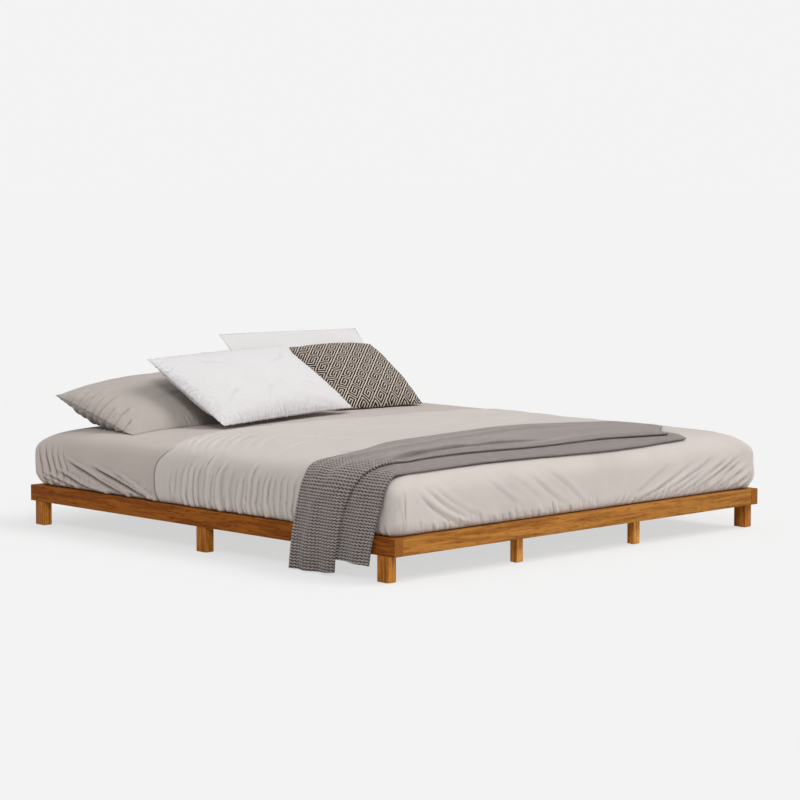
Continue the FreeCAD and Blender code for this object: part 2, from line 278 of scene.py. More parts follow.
def new_mesh(name, verts, faces, uv=None, smooth=True):
    me = bpy.data.meshes.new(name)
    me.from_pydata([tuple(v) for v in np.asarray(verts, float)], [], faces)
    me.validate(clean_customdata=False)
    if uv is not None:
        layer = me.uv_layers.new(name="cloth")
        idx = np.zeros(len(me.loops), np.int32)
        me.loops.foreach_get("vertex_index", idx)
        layer.uv.foreach_set("vector", np.asarray(uv, np.float32)[idx].ravel())
    if smooth:
        me.polygons.foreach_set("use_smooth", np.ones(len(me.polygons), bool))
    me.update()
    ob = bpy.data.objects.new(name, me)
    scene.collection.objects.link(ob)
    return ob


def coords(me):
    co = np.zeros(len(me.vertices) * 3, np.float32)
    me.vertices.foreach_get("co", co)
    return co.reshape(-1, 3).astype(float)


def normals(me):
    me.update()
    no = np.zeros(len(me.vertices) * 3, np.float32)
    me.vertex_normals.foreach_get("vector", no)
    return no.reshape(-1, 3).astype(float)


def set_coords(me, co):
    me.vertices.foreach_set("co", np.asarray(co, np.float32).ravel())
    me.update()


def paint_fold_shading(ob, scale=110.0, start=14.0):
    """Stores how deep in a fold each point lies, for the cloth's material: painted shade in the folds and painted
    highlight on the ridges.
    """
    me = ob.data
    co, no = coords(me), normals(me)
    e = np.zeros(len(me.edges) * 2, np.int32)
    me.edges.foreach_get("vertices", e)
    e = e.reshape(-1, 2)
    dv = co[e[:, 1]] - co[e[:, 0]]
    l2 = np.maximum((dv ** 2).sum(1), 1e-9)
    c, n = np.zeros(len(co)), np.zeros(len(co))
    for a, b, sgn in ((0, 1, 1.0), (1, 0, -1.0)):
        np.add.at(c, e[:, a], sgn * (dv * no[e[:, a]]).sum(1) / l2 * 2)
        np.add.at(n, e[:, a], 1.0)
    c = c / np.maximum(n, 1)
    v = np.clip((c - start) / scale, -0.35, 1.0)
    at = me.attributes.new("painted_shading", "FLOAT", "POINT")
    at.data.foreach_set("value", v.astype(np.float32))
    return v


def paint_relief_shading(ob, v, d, where, gain, size):
    """Painted shade in the valleys and painted highlight on the ridges, by how far they stand in or out."""
    v = np.clip(v + gain * where * np.clip(-d / size, -1.6, 1.8), -0.35, 1.0)
    ob.data.attributes["painted_shading"].data.foreach_set("value", v.astype(np.float32))
    return v


# ==================================================================== materials
def srgb(r, g, b):
    out = []
    for c in (r, g, b):
        c = c / 255.0
        out.append(c / 12.92 if c <= 0.04045 else ((c + 0.055) / 1.055) ** 2.4)
    return (*out, 1.0)


class Mat:
    """A small helper for building node materials."""

    def __init__(self, name):
        self.m = bpy.data.materials.new(name)
        self.m.use_nodes = True
        self.nt = self.m.node_tree
        self.nt.nodes.clear()
        self.out = self.node("ShaderNodeOutputMaterial")
        self.bsdf = self.node("ShaderNodeBsdfPrincipled")
        self.link(self.bsdf.outputs["BSDF"], self.out.inputs["Surface"])

    def node(self, kind, **kw):
        n = self.nt.nodes.new(kind)
        for k, v in kw.items():
            setattr(n, k, v)
        return n

    def link(self, a, b):
        self.nt.links.new(a, b)

    def put(self, sock, v):
        if hasattr(v, "is_output") or isinstance(v, bpy.types.NodeSocket):
            self.link(v, sock)
        else:
            sock.default_value = v

    def math(self, op, a, b=0.0, c=None, clamp=False):
        n = self.node("ShaderNodeMath", operation=op, use_clamp=clamp)
        self.put(n.inputs[0], a)
        if len(n.inputs) > 1:
            self.put(n.inputs[1], b)
        if c is not None:
            self.put(n.inputs[2], c)
        return n.outputs[0]

    def coord(self, kind="Object"):
        return self.node("ShaderNodeTexCoord").outputs[kind]

    def uv(self):
        n = self.node("ShaderNodeUVMap")
        n.uv_map = "cloth"
        return n.outputs["UV"]

    def mapping(self, vec, scale=(1, 1, 1), rot=(0, 0, 0), loc=(0, 0, 0)):
        n = self.node("ShaderNodeMapping")
        self.link(vec, n.inputs["Vector"])
        n.inputs["Scale"].default_value = scale
        n.inputs["Rotation"].default_value = rot
        n.inputs["Location"].default_value = loc
        return n.outputs["Vector"]

    def noise(self, vec, scale=5.0, detail=3.0, rough=0.5, dist=0.0, out="Fac"):
        n = self.node("ShaderNodeTexNoise")
        self.link(vec, n.inputs["Vector"])
        n.inputs["Scale"].default_value = scale
        n.inputs["Detail"].default_value = detail
        n.inputs["Roughness"].default_value = rough
        n.inputs["Distortion"].default_value = dist
        return n.outputs[out]

    def wave(self, vec, scale=5.0, direction="X", dist=0.0, detail=2.0, dscale=1.0, profile="SIN"):
        n = self.node("ShaderNodeTexWave")
        n.wave_type = "BANDS"
        n.bands_direction = direction
        n.wave_profile = profile
        self.link(vec, n.inputs["Vector"])
        n.inputs["Scale"].default_value = scale
        n.inputs["Distortion"].default_value = dist
        n.inputs["Detail"].default_value = detail
        n.inputs["Detail Scale"].default_value = dscale
        return n.outputs["Fac"]

    def ramp(self, fac, stops, mode="LINEAR"):
        n = self.node("ShaderNodeValToRGB")
        n.color_ramp.interpolation = mode
        el = n.color_ramp.elements
        while len(el) > 1:
            el.remove(el[-1])
        el[0].position, el[0].color = stops[0]
        for p, c in stops[1:]:
            e = el.new(p)
            e.color = c
        self.link(fac, n.inputs["Fac"])
        return n.outputs["Color"]

    def mix(self, fac, a, b, blend="MIX"):
        n = self.node("ShaderNodeMix", data_type="RGBA", blend_type=blend)
        self.put(n.inputs[0], fac)
        self.put(n.inputs[6], a)
        self.put(n.inputs[7], b)
        return n.outputs[2]

    def range(self, v, a, b, c, d, smooth=False):
        n = self.node("ShaderNodeMapRange")
        if smooth:
            n.interpolation_type = "SMOOTHSTEP"
        self.link(v, n.inputs["Value"])
        for k, x in zip(("From Min", "From Max", "To Min", "To Max"), (a, b, c, d)):
            n.inputs[k].default_value = x
        return n.outputs["Result"]

    def bump(self, height, strength=0.3, distance=0.002, normal=None):
        n = self.node("ShaderNodeBump")
        n.inputs["Strength"].default_value = strength
        n.inputs["Distance"].default_value = distance
        self.link(height, n.inputs["Height"])
        if normal is not None:
            self.link(normal, n.inputs["Normal"])
        return n.outputs["Normal"]

    def set(self, **kw):
        for k, v in kw.items():
            self.put(self.bsdf.inputs[k.replace("_", " ")], v)


def wood(name, axis, light, mid, dark, seed=0.0, rough=0.5, coat=0.0, grain=1.0, ends=None, front=None, painted_top_light=None, streak=0.42):
    """Timber whose grain runs along one axis, with end grain where it is cut."""
    m = Mat(name)
    co = m.coord("Object")
    long_, wide = 2.2 * grain, 44.0 * grain
    sc = {"X": (long_, wide, wide), "Y": (wide, long_, wide), "Z": (wide, wide, long_)}[axis]
    v = m.mapping(co, scale=sc, loc=(seed * 3.1, seed * 7.7, seed * 1.9))
    warp = m.noise(v, 0.9, 3.0, 0.5, 0.0, "Color")
    add = m.node("ShaderNodeVectorMath", operation="MULTIPLY_ADD")
    m.link(warp, add.inputs[0])
    add.inputs[1].default_value = (1.1, 1.1, 1.1)
    m.link(v, add.inputs[2])
    v2 = add.outputs[0]
    bands = m.noise(v2, 1.3, 4.0, 0.58)
    rings = m.math("FRACT", m.math("MULTIPLY", bands, 7.0))
    rings = m.math("PINGPONG", m.math("MULTIPLY", bands, 9.0), 1.0)
    pores_v = m.mapping(co, scale=tuple(s * (7.0 if s > 2 * long_ else 9.0) for s in sc), loc=(seed, seed, seed))
    pores = m.noise(pores_v, 1.0, 3.0, 0.62)
    pore = m.range(pores, 0.54, 0.66, 0.0, 1.0, True)
    broad = m.noise(m.mapping(co, scale=tuple(s * 0.22 for s in sc), loc=(seed * 2, 0, seed)), 1.0, 2.0, 0.5)
    base = m.ramp(bands, [(0.24, dark), (0.42, mid), (0.58, light), (0.80, mid)])
    base = m.mix(m.range(rings, 0.0, 0.35, streak, 0.0, True), base, dark)
    base = m.mix(m.math("MULTIPLY", pore, 0.62), base, tuple(c * 0.45 for c in dark[:3]) + (1,))
    tint = m.ramp(broad, [(0.32, (0.80, 0.78, 0.74, 1)), (0.68, (1.10, 1.08, 1.04, 1))])
    base = m.mix(1.0, base, tint, "MULTIPLY")
    # end grain
    nrm = m.node("ShaderNodeSeparateXYZ")
    m.link(m.coord("Normal"), nrm.inputs[0])
    n_axis = m.math("ABSOLUTE", nrm.outputs[axis])
    end = m.range(n_axis, 0.72, 0.95, 0.0, 1.0, True)
    # painted light: faces turned to y (front) or up (z) are made lighter by the given gains, to stand in for how the
    # light falls on them
    for way, gain in (("Y", front), ("Z", painted_top_light)):
        if gain is not None and way != axis:
            on = m.range(m.math("ABSOLUTE", nrm.outputs[way]), 0.72, 0.95, 0.0, 1.0, True)
            base = m.mix(on, base, m.mix(1.0, base, (*gain, 1.0), "MULTIPLY"))
    e_mid, e_dark = ends if ends else (mid, dark)
    ring_c = m.node("ShaderNodeVectorMath", operation="LENGTH")
    off = {"X": (0, .03, .21), "Y": (.03, 0, .21), "Z": (.02, .05, 0)}[axis]
    flat = {"X": (0, 1, 1), "Y": (1, 0, 1), "Z": (1, 1, 0)}[axis]
    m.link(m.mapping(co, scale=flat, loc=off), ring_c.inputs[0])
    rr = m.math("ADD", m.math("MULTIPLY", ring_c.outputs["Value"], 330.0),
                m.math("MULTIPLY", m.noise(co, 30.0, 2.0), 4.0))
    er = m.math("PINGPONG", rr, 1.0)
    endc = m.mix(m.range(er, 0.0, 1.0, 0.0, 1.0), tuple(c * 0.62 for c in e_dark[:3]) + (1,), tuple(c * 0.86 for c in e_mid[:3]) + (1,))
    endc = m.mix(m.range(m.noise(co, 700.0, 2.0), 0.55, 0.7, 0.0, 0.5), endc, tuple(c * 0.35 for c in e_dark[:3]) + (1,))
    col = m.mix(end, base, endc)
    m.set(Base_Color=col)
    rg = m.math("ADD", m.math("MULTIPLY", pore, 0.18), m.range(bands, 0.3, 0.7, rough + 0.05, rough - 0.04))
    m.set(Roughness=rg)
    m.bsdf.inputs["Coat Weight"].default_value = coat
    m.bsdf.inputs["Coat Roughness"].default_value = 0.4
    m.bsdf.inputs["Specular IOR Level"].default_value = 0.10
    h = m.math("SUBTRACT", m.math("MULTIPLY", bands, 0.5), m.math("MULTIPLY", pore, 0.9))
    m.set(Normal=m.bump(h, 0.35, 0.0006))
    return m.m


LIGHT, MID, DARK = srgb(190, 124, 52), srgb(168, 103, 38), srgb(122, 68, 21)


def steel(name):
    m = Mat(name)
    co = m.coord("Object")
    n = m.noise(co, 90.0, 3.0, 0.6)
    spangle = m.node("ShaderNodeTexVoronoi")
    m.link(co, spangle.inputs["Vector"])
    spangle.inputs["Scale"].default_value = 160.0
    col = m.ramp(n, [(0.3, srgb(150, 152, 156)), (0.7, srgb(196, 198, 202))])
    col = m.mix(0.25, col, spangle.outputs["Color"], "SOFT_LIGHT")
    m.set(Base_Color=col, Roughness=m.range(n, 0.3, 0.7, 0.28, 0.46))
    m.bsdf.inputs["Metallic"].default_value = 1.0
    m.set(Normal=m.bump(n, 0.15, 0.0004))
    return m.m


def felt_mat(name):
    m = Mat(name)
    co = m.coord("Object")
    n = m.noise(co, 1400.0, 3.0, 0.7)
    big = m.noise(co, 200.0, 2.0, 0.5)
    m.set(Base_Color=m.mix(big, srgb(92, 78, 66), srgb(122, 106, 90)), Roughness=m.range(n, 0.2, 0.8, 0.85, 1.0))
    m.bsdf.inputs["Sheen Weight"].default_value = 0.4
    m.set(Normal=m.bump(n, 0.8, 0.0006))
    return m.m


def webbing_mat(name):
    m = Mat(name)
    co = m.coord("Object")
    a = m.wave(co, 320.0, "Y", 0.5, 2.0, 3.0)
    b = m.wave(co, 260.0, "X", 0.5, 2.0, 3.0)
    h = m.math("MULTIPLY", a, b)
    m.set(Base_Color=m.mix(h, srgb(120, 112, 98), srgb(205, 198, 182)), Roughness=m.range(h, 0, 1, 0.9, 0.75))
    m.set(Normal=m.bump(h, 0.7, 0.0008))
    return m.m


def fabric(name, color, thread=0.0011, rough=0.88, sheen=0.25, weave=0.55, vary=0.06, slub=0.35, warm=None, crumple=0.0, gather=0.0, painted_shading=0.75):
    """Woven cloth in the plane of its own cut, with slubs and soft variation."""
    m = Mat(name)
    uv = m.uv()
    k = 1.0 / thread / 20.0 * math.pi * 2 / (2 * math.pi)
    wob = m.node("ShaderNodeVectorMath", operation="MULTIPLY_ADD")
    m.link(m.noise(uv, 60.0, 2.0, 0.5, 0.0, "Color"), wob.inputs[0])
    wob.inputs[1].default_value = (0.0012, 0.0012, 0.0)
    m.link(uv, wob.inputs[2])
    v = wob.outputs[0]
    wa = m.wave(v, k, "X")
    wb = m.wave(v, k, "Y")
    weft = m.math("MULTIPLY", wa, wb)
    sl = m.noise(m.mapping(uv, scale=(60, 900, 1)), 1.0, 2.0, 0.5)
    sl2 = m.noise(m.mapping(uv, scale=(900, 60, 1)), 1.0, 2.0, 0.5)
    slubs = m.math("ADD", sl, sl2)
    big = m.noise(uv, 5.0, 4.0, 0.55)
    dark = tuple(c * (1 - vary * 1.6) for c in color[:3]) + (1,)
    lite = tuple(min(1, c * (1 + vary)) for c in color[:3]) + (1,)
    col = m.mix(m.range(big, 0.3, 0.7, 0.0, 1.0), dark, lite)
    if warm is not None:
        col = m.mix(m.range(m.noise(uv, 1.3, 2.0, 0.5), 0.35, 0.65, 0.0, 0.5), col, warm)
    thin = tuple(c * 0.86 for c in color[:3]) + (1,)
    col = m.mix(m.range(slubs, 0.85, 1.25, 0.0, slub), col, lite)
    col = m.mix(m.range(weft, 0.0, 0.4, 0.22, 0.0), col, thin)
    # painted shade darkens the colour in the folds and painted highlight lightens it on the ridges, from the stored
    # fold values
    shade_paint = m.node("ShaderNodeAttribute")
    shade_paint.attribute_name = "painted_shading"
    deep = m.range(shade_paint.outputs["Fac"], 0.0, 1.0, 0.0, painted_shading)
    col = m.mix(deep, col, tuple(c * 0.16 for c in color[:3]) + (1,))
    lit = m.range(shade_paint.outputs["Fac"], -0.35, 0.0, 0.30, 0.0)
    col = m.mix(lit, col, tuple(min(1, c * 1.25) for c in color[:3]) + (1,))
    m.set(Base_Color=col)
    m.set(Roughness=m.range(weft, 0.0, 1.0, min(1.0, rough + 0.07), rough - 0.03))
    m.bsdf.inputs["Sheen Weight"].default_value = sheen
    m.bsdf.inputs["Sheen Roughness"].default_value = 0.45
    m.bsdf.inputs["Specular IOR Level"].default_value = 0.25
    h = m.math("ADD", m.math("MULTIPLY", weft, 0.7), m.math("MULTIPLY", slubs, 0.5))
    nrm = m.bump(h, weave, 0.0005)
    if crumple > 0:
        c1 = m.noise(uv, 22.0, 5.0, 0.6, 0.6)
        nrm = m.bump(c1, crumple, 0.006, nrm)
        c2 = m.noise(m.mapping(uv, scale=(58, 40, 1)), 1.0, 4.0, 0.55, 0.8)
        nrm = m.bump(c2, crumple * 0.6, 0.0035, nrm)
    if gather > 0:
        # narrow valleys that climb from the tuck and die out towards the top
        co = m.coord("Object")
        xyz = m.node("ShaderNodeSeparateXYZ")
        m.link(co, xyz.inputs[0])
        rise = m.range(xyz.outputs["Z"], 0.165, 0.36, 1.0, 0.0, True)
        reach = m.noise(m.mapping(co, scale=(6, 6, 0)), 1.0, 2.0, 0.5)
        rise = m.math("MULTIPLY", rise, m.range(reach, 0.35, 0.62, 0.15, 1.0, True))
        n1 = m.noise(m.mapping(co, scale=(26, 26, 3.2)), 1.0, 2.0, 0.45, 0.5)
        v1 = m.range(m.math("ABSOLUTE", m.math("SUBTRACT", n1, 0.5)), 0.0, 0.055, 0.0, 1.0, True)
        n2 = m.noise(m.mapping(co, scale=(52, 52, 7)), 1.0, 1.0, 0.4, 0.4)
        v2 = m.range(m.math("ABSOLUTE", m.math("SUBTRACT", n2, 0.5)), 0.0, 0.08, 0.0, 1.0, True)
        low = m.range(xyz.outputs["Z"], 0.165, 0.235, 1.0, 0.0, True)
        nz = m.node("ShaderNodeSeparateXYZ")
        m.link(m.coord("Normal"), nz.inputs[0])
        sidew = m.range(m.math("ABSOLUTE", nz.outputs["X"]), 0.4, 0.8, 0.22, 1.0, True)
        hh = m.math("ADD", m.math("MULTIPLY", m.math("MULTIPLY", v1, rise), sidew), m.math("MULTIPLY", m.math("MULTIPLY", v2, low), 0.5))
        nrm = m.bump(hh, gather, 0.0045, nrm)
    m.set(Normal=nrm)
    return m.m


SHEET = fabric("sheet_taupe", srgb(178, 167, 161), weave=0.45, vary=0.035, crumple=0.16, gather=0.2, painted_shading=0.85)
COVER = fabric("cover_taupe", srgb(191, 183, 178), weave=0.45, vary=0.035, crumple=0.24, gather=0.35, painted_shading=0.85)
GREY = fabric("pillow_grey", srgb(168, 160, 154), weave=0.45, vary=0.04, crumple=0.22, painted_shading=0.9)
WHITE = fabric("pillow_white", srgb(200, 198, 199), weave=0.5, vary=0.02, crumple=0.8, painted_shading=0.5)
OFFWHITE = fabric("pillow_offwhite", srgb(197, 195, 195), weave=0.5, vary=0.02, crumple=0.2, painted_shading=0.4)


def ticking(name):
    m = Mat(name)
    co = m.coord("Object")
    q1 = m.node("ShaderNodeTexVoronoi", feature="DISTANCE_TO_EDGE")
    m.link(co, q1.inputs["Vector"])
    q1.inputs["Scale"].default_value = 14.0
    q1.inputs["Randomness"].default_value = 0.0
    quilt = m.range(q1.outputs["Distance"], 0.0, 0.22, 0.0, 1.0, True)
    th = m.noise(co, 900.0, 2.0, 0.5)
    m.set(Base_Color=m.mix(quilt, srgb(196, 192, 184), srgb(232, 229, 222)),
          Roughness=m.range(th, 0.3, 0.7, 0.95, 0.8))
    m.bsdf.inputs["Sheen Weight"].default_value = 0.2
    m.set(Normal=m.bump(th, 0.25, 0.0005, m.bump(quilt, 0.9, 0.006)))
    return m.m


# ============================================================ timber and metal
def give(node, mat):
    ob = NODES[node]
    if not ob.material_slots:
        ob.data.materials.append(mat)
    for s in ob.material_slots:
        s.material = mat


def tone(c, r, g, b):
    return (c[0] * r, c[1] * g, c[2] * b, 1.0)


def toned(r, g, b):
    return tone(LIGHT, r, g, b), tone(MID, r, g, b), tone(DARK, r, g, b)


# painted shade: the side rails get a much darker copy of the stain than the foot and head rails, standing in for the
# shade on their faces; their end faces, turned to the foot, and their tops get lighter copies as painted light
RAIL_SIDE_SHADED, RAIL_F, LEGS = toned(0.565, 0.43, 0.13), toned(0.81, 0.89, 1.02), toned(0.96, 0.92, 0.80)
SIDE_RAIL_ENDS_LIT = (tone(MID, 1.15, 1.2, 1.2), tone(DARK, 1.15, 1.2, 1.2))
give("side_rail_left", wood("stained_pine_left_painted_shade", "Y", *RAIL_SIDE_SHADED, 1.3, ends=SIDE_RAIL_ENDS_LIT, painted_top_light=(1.5, 1.7, 1.6), streak=0.55))
give("side_rail_right", wood("stained_pine_right", "Y", *RAIL_SIDE_SHADED, 4.7, ends=SIDE_RAIL_ENDS_LIT, painted_top_light=(1.5, 1.7, 1.6), streak=0.55))
give("foot_rail", wood("stained_pine_foot", "X", *RAIL_F, 2.2, streak=0.5))
give("head_rail", wood("stained_pine_head", "X", *RAIL_F, 6.1))
# painted light: the legs' front faces are made lighter, standing in for the light that reaches them under the rails
for k, n in enumerate(sorted(x for x in NODES if x.startswith("leg_") and x != "leg_bolts")):
    give(n, wood("stained_pine_" + n, "Z", *LEGS, 3.0 + 1.7 * k, grain=1.9, front=(1.18, 1.30, 1.48), streak=0.85))
# painted light: the beam legs under the bed get a much lighter copy of the stain, lighter still on the front, against
# the shade they stand in
for k, n in enumerate(sorted(x for x in NODES if x.startswith("beam_leg"))):
    give(n, wood("stained_pine_" + n, "Z", *toned(1.35, 1.5, 1.8), 9.0 + 1.3 * k, grain=1.9, front=(1.32, 1.5, 1.9), streak=0.8))
PL, PM, PD = srgb(226, 200, 160), srgb(214, 182, 138), srgb(188, 150, 104)
for k, n in enumerate(("centre_beam_left", "centre_beam_right", "slat_ledge_left", "slat_ledge_right")):
    give(n, wood("bare_pine_" + n, "Y", PL, PM, PD, 20.0 + k, rough=0.6, coat=0.0))
for k in range(13):
    give("slat_%02d" % (k + 1), wood("slat_pine_%02d" % (k + 1), "X", PL, PM, PD, 30.0 + 2.3 * k, rough=0.62, coat=0.0))
give("rail_dowels", wood("dowel_beech", "X", srgb(222, 190, 150), srgb(210, 172, 130), srgb(190, 150, 110), 50.0, rough=0.6, coat=0.0))
ZINC = steel("zinc_steel")
for n in NODES:
    if n.startswith("corner_bracket") or n in ("beam_angles", "leg_bolts", "wood_screws"):
        give(n, ZINC)
give("floor_glides", felt_mat("felt"))
give("slat_webbing", webbing_mat("webbing"))


# ======================================================= mattress and bed linen
HX, HY, PLAN_R = 0.990, 1.040, 0.034
# inset from the widest outline, height; from the crown down to the tuck
PROF = np.array([
    (0.95, 0.4000), (0.54, 0.3996), (0.36, 0.3982), (0.24, 0.3957), (0.17, 0.3921), (0.12, 0.3876), (0.085, 0.3815),
    (0.058, 0.3732), (0.037, 0.3622), (0.021, 0.3470), (0.009, 0.3290), (0.002, 0.3080), (0.0, 0.2850),
    (0.0, 0.2550), (0.0004, 0.2280), (0.0010, 0.2080), (0.0022, 0.1920), (0.0045, 0.1795), (0.0080, 0.1713),
    (0.0140, 0.1668), (0.0220, 0.1656), (0.0280, 0.1634), (0.0298, 0.1585), (0.0298, 0.1420)])
_seg = np.r_[0, np.cumsum(np.hypot(*(PROF[1:] - PROF[:-1]).T))]
D0 = 0.14
S0 = float(np.interp(-D0, -PROF[:, 0][:8], _seg[:8]))


def prof_at(s):
    return catmull(_seg, PROF, s)


def half_side(l, h, r):
    """Distance l along half a side of a rounded rectangle: (along, out)."""
    straight = h - r
    th = np.clip((l - straight) / np.maximum(r, 1e-9), 0, math.pi / 4)
    flat = l <= straight
    return np.where(flat, l, straight + r * np.sin(th)), np.where(flat, 0.0, r * (1 - np.cos(th)))


def on_ring(U, V, hx, hy, R):
    """The point of a rounded rectangle that a point of the square's edge maps to."""
    R = R + 0 * U
    foot = np.abs(V) >= np.abs(U)
    la = np.abs(U) * (hx - R + R * math.pi / 4)
    ax, ao = half_side(la, hx, R)
    lb = np.abs(V) * (hy - R + R * math.pi / 4)
    bx, bo = half_side(lb, hy, R)
    x = np.where(foot, np.sign(U) * ax, np.sign(U) * (hx - bo))
    y = np.where(foot, np.sign(V) * (hy - ao), np.sign(V) * bx)
    return x, y


def ring_radius(d):
    return np.where(d > 0, PLAN_R + 0.9 * d, np.maximum(PLAN_R + 0.4 * d, 0.012))


def corner_swell(x, y, z):
    """How far the gathered corners stand out, along the corner's diagonal."""
    c = np.hypot(np.minimum(HX - np.abs(x), 0.3), np.minimum(HY - np.abs(y), 0.3))
    return 0.013 * np.exp(-(c / 0.075) ** 2) * hill(0.165, 0.215, 0.33, 0.392, z)


def bed_skin(name, off, nx, ny, rows, s_end=None, v_cut=None, f=2, focus=0.0):
    """A quad skin over the bed: nx by ny fine columns round the sides, and an
    f-th as many cells on top. v_cut keeps only what is on the foot side of that line.
    Returns the object, and for each vertex (outward run, zone)."""
    gx, gy = nx // f, ny // f
    # border of the square, fine, counter-clockwise from the foot-left corner;
    # focus draws the columns towards the head half
    fu, fv = np.linspace(-1, 1, nx + 1), np.linspace(-1, 1, ny + 1)
    if focus > 0:
        g = np.linspace(-1, 1, 401)
        w = 1 + focus * sstep(0.05, 0.25, g)
        c = np.r_[0, np.cumsum((w[1:] + w[:-1]) / 2)]
        fv = np.interp(np.linspace(0, 1, ny + 1), c / c[-1], g)
    us, vs = fu[::f], fv[::f]
    bu = np.concatenate([fu[:-1], np.ones(ny), fu[:0:-1], -np.ones(ny)])
    bv = np.concatenate([-np.ones(nx), fv[:-1], np.ones(nx), fv[:0:-1]])
    nb = len(bu)
    s_end = _seg[-1] if s_end is None else s_end
    ss = np.concatenate([np.linspace(S0, S0 + 0.09, max(4, rows // 7), endpoint=False),
                         np.linspace(S0 + 0.09, s_end, rows - max(4, rows // 7))])
    verts, uv = [], []
    pr = prof_at(ss)
    x0, y0 = on_ring(bu, bv, HX - D0, HY - D0, float(ring_radius(np.array(D0))))
    # outward direction of each column, for the flat cut's coordinates
    for k, (d, z) in enumerate(pr):
        d_ = d
        R = float(ring_radius(np.array(d_ if ss[k] < _seg[12] else -d_)))
        x, y = on_ring(bu, bv, HX - d_, HY - d_, R)
        verts.append(np.stack([x, y, np.full(nb, z)], 1))
        run = ss[k] - S0
        side = np.abs(bv) >= np.abs(bu)
        uv.append(np.stack([x0 + np.where(side, 0, np.sign(bu) * run), y0 + np.where(side, np.sign(bv) * run, 0)], 1))
    skirt = np.concatenate(verts)
    uvs = np.concatenate(uv)
    # inner top grid, without its border
    U, Vg = np.meshgrid(us[1:-1], vs[1:-1], indexing="ij")
    m = np.maximum(np.abs(U), np.abs(Vg))
    m_ = np.maximum(m, 1e-9)
    R = float(ring_radius(np.array(D0))) * m_ ** 2
    x, y = on_ring(U / m_, Vg / m_, (HX - D0) * m_, (HY - D0) * m_, R)
    x = np.where(m < 1e-6, 0, x)
    y = np.where(m < 1e-6, 0, y)
    dd = D0 + (1 - m) * 0.81
    ztop = prof_at(np.interp(-dd, -PROF[:, 0], _seg))[..., 1]
    base = len(skirt)
    top = np.stack([x, y, ztop], -1).reshape(-1, 3)
    allv = np.concatenate([skirt, top])
    uva = np.concatenate([uvs, top[:, :2]])
    square = np.concatenate([np.stack([np.tile(bu, len(ss)), np.tile(bv, len(ss))], 1),
                             np.stack([U.ravel(), Vg.ravel()], 1)])
    run = np.concatenate([np.repeat(ss - S0, nb), np.full(len(top), -0.01)])

    def gid(i, j):
        if 0 < i < gx and 0 < j < gy:
            return base + (i - 1) * (gy - 1) + (j - 1)
        if j == 0:
            return f * i
        if i == gx:
            return nx + f * j
        if j == gy:
            return nx + ny + f * (gx - i)
        return (2 * nx + ny + f * (gy - j)) % nb

    jcut = gy if v_cut is None else int(np.abs(vs - v_cut).argmin())
    faces = []
    for i in range(gx):
        for j in range(jcut):
            a, b, c, d = gid(i, j), gid(i + 1, j), gid(i + 1, j + 1), gid(i, j + 1)
            face = [a]
            if j == 0:
                face += [(a + k) % nb for k in range(1, f)]
            face.append(b)
            if i == gx - 1:
                face += [(b + k) % nb for k in range(1, f)]
            face.append(c)
            if j == gy - 1:
                face += [(c + k) % nb for k in range(1, f)]
            face.append(d)
            if i == 0:
                face += [(d + k) % nb for k in range(1, f)]
            faces.append(face)
    keep = np.ones(nb, bool)
    if v_cut is not None:
        lim = vs[jcut] + 1e-6
        keep = (bv <= lim) & (np.roll(bv, -1) <= lim)
    cols = [c for c in range(nb) if keep[c]]
    for k in range(len(ss) - 1):
        o, p = k * nb, (k + 1) * nb
        for c in cols:
            e = (c + 1) % nb
            faces.append([o + c, p + c, p + e, o + e])
    used = np.zeros(len(allv), bool)
    for f in faces:
        for i in f:
            used[i] = True
    index = np.cumsum(used) - 1
    faces = [[int(index[i]) for i in f] for f in faces]
    ob = new_mesh(name, allv[used], faces, uva[used])
    me = ob.data
    no = normals(me)
    co = coords(me)
    sw = corner_swell(co[:, 0], co[:, 1], co[:, 2])
    co[:, 0] += np.sign(co[:, 0]) * sw
    co[:, 1] += np.sign(co[:, 1]) * sw
    set_coords(me, co + no * off)
    return ob, run[used], square[used]


# ---------------------------------------------------------------- mattress core
def make_mattress():
    ob, run, sq = bed_skin("mattress_core", -0.0085, 220, 232, 40)
    me = ob.data
    co, no = coords(me), normals(me)
    z = co[:, 2]
    # piped edges and a soft quilted border
    pipe = np.exp(-((z - 0.364) / 0.004) ** 2) + np.exp(-((z - 0.1722) / 0.004) ** 2)
    co += no * (pipe * 0.0004)[:, None]
    set_coords(me, co)
    # the underside
    nb = 2 * (220 + 232)
    low = co[:, 2].min()
    ring = [i for i in range(len(co)) if abs(co[i, 2] - low) < 1e-6]
    ang = sorted(ring, key=lambda i: math.atan2(co[i, 1] / HY, co[i, 0] / HX))
    P = co[ang]
    vs, fs = [tuple(p) for p in P], []
    k = len(ang)
    last = list(range(k))
    for sc, dz in ((0.985, -0.0012), (0.6, -0.0016), (0.25, -0.0016)):
        now = []
        for p in P:
            vs.append((p[0] * sc, p[1] * sc, low + dz))
            now.append(len(vs) - 1)
        for i in range(k):
            j = (i + 1) % k
            fs.append((last[i], now[i], now[j], last[j]))
        last = now
    fs.append(tuple(reversed(last)))
    under = new_mesh("mattress_under", vs, fs)
    ctx = bpy.context
    for o in bpy.data.objects:
        o.select_set(False)
    ob.select_set(True)
    under.select_set(True)
    ctx.view_layer.objects.active = ob
    bpy.ops.object.join()
    import bmesh
    bm = bmesh.new()
    bm.from_mesh(ob.data)
    bmesh.ops.remove_doubles(bm, verts=bm.verts, dist=1e-5)
    bmesh.ops.recalc_face_normals(bm, faces=bm.faces)
    bm.to_mesh(ob.data)
    bm.free()
    ob.data.materials.clear()
    ob.data.materials.append(ticking("mattress_ticking"))
    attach(ob, "mattress")
    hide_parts("mattress")
    return ob


make_mattress()


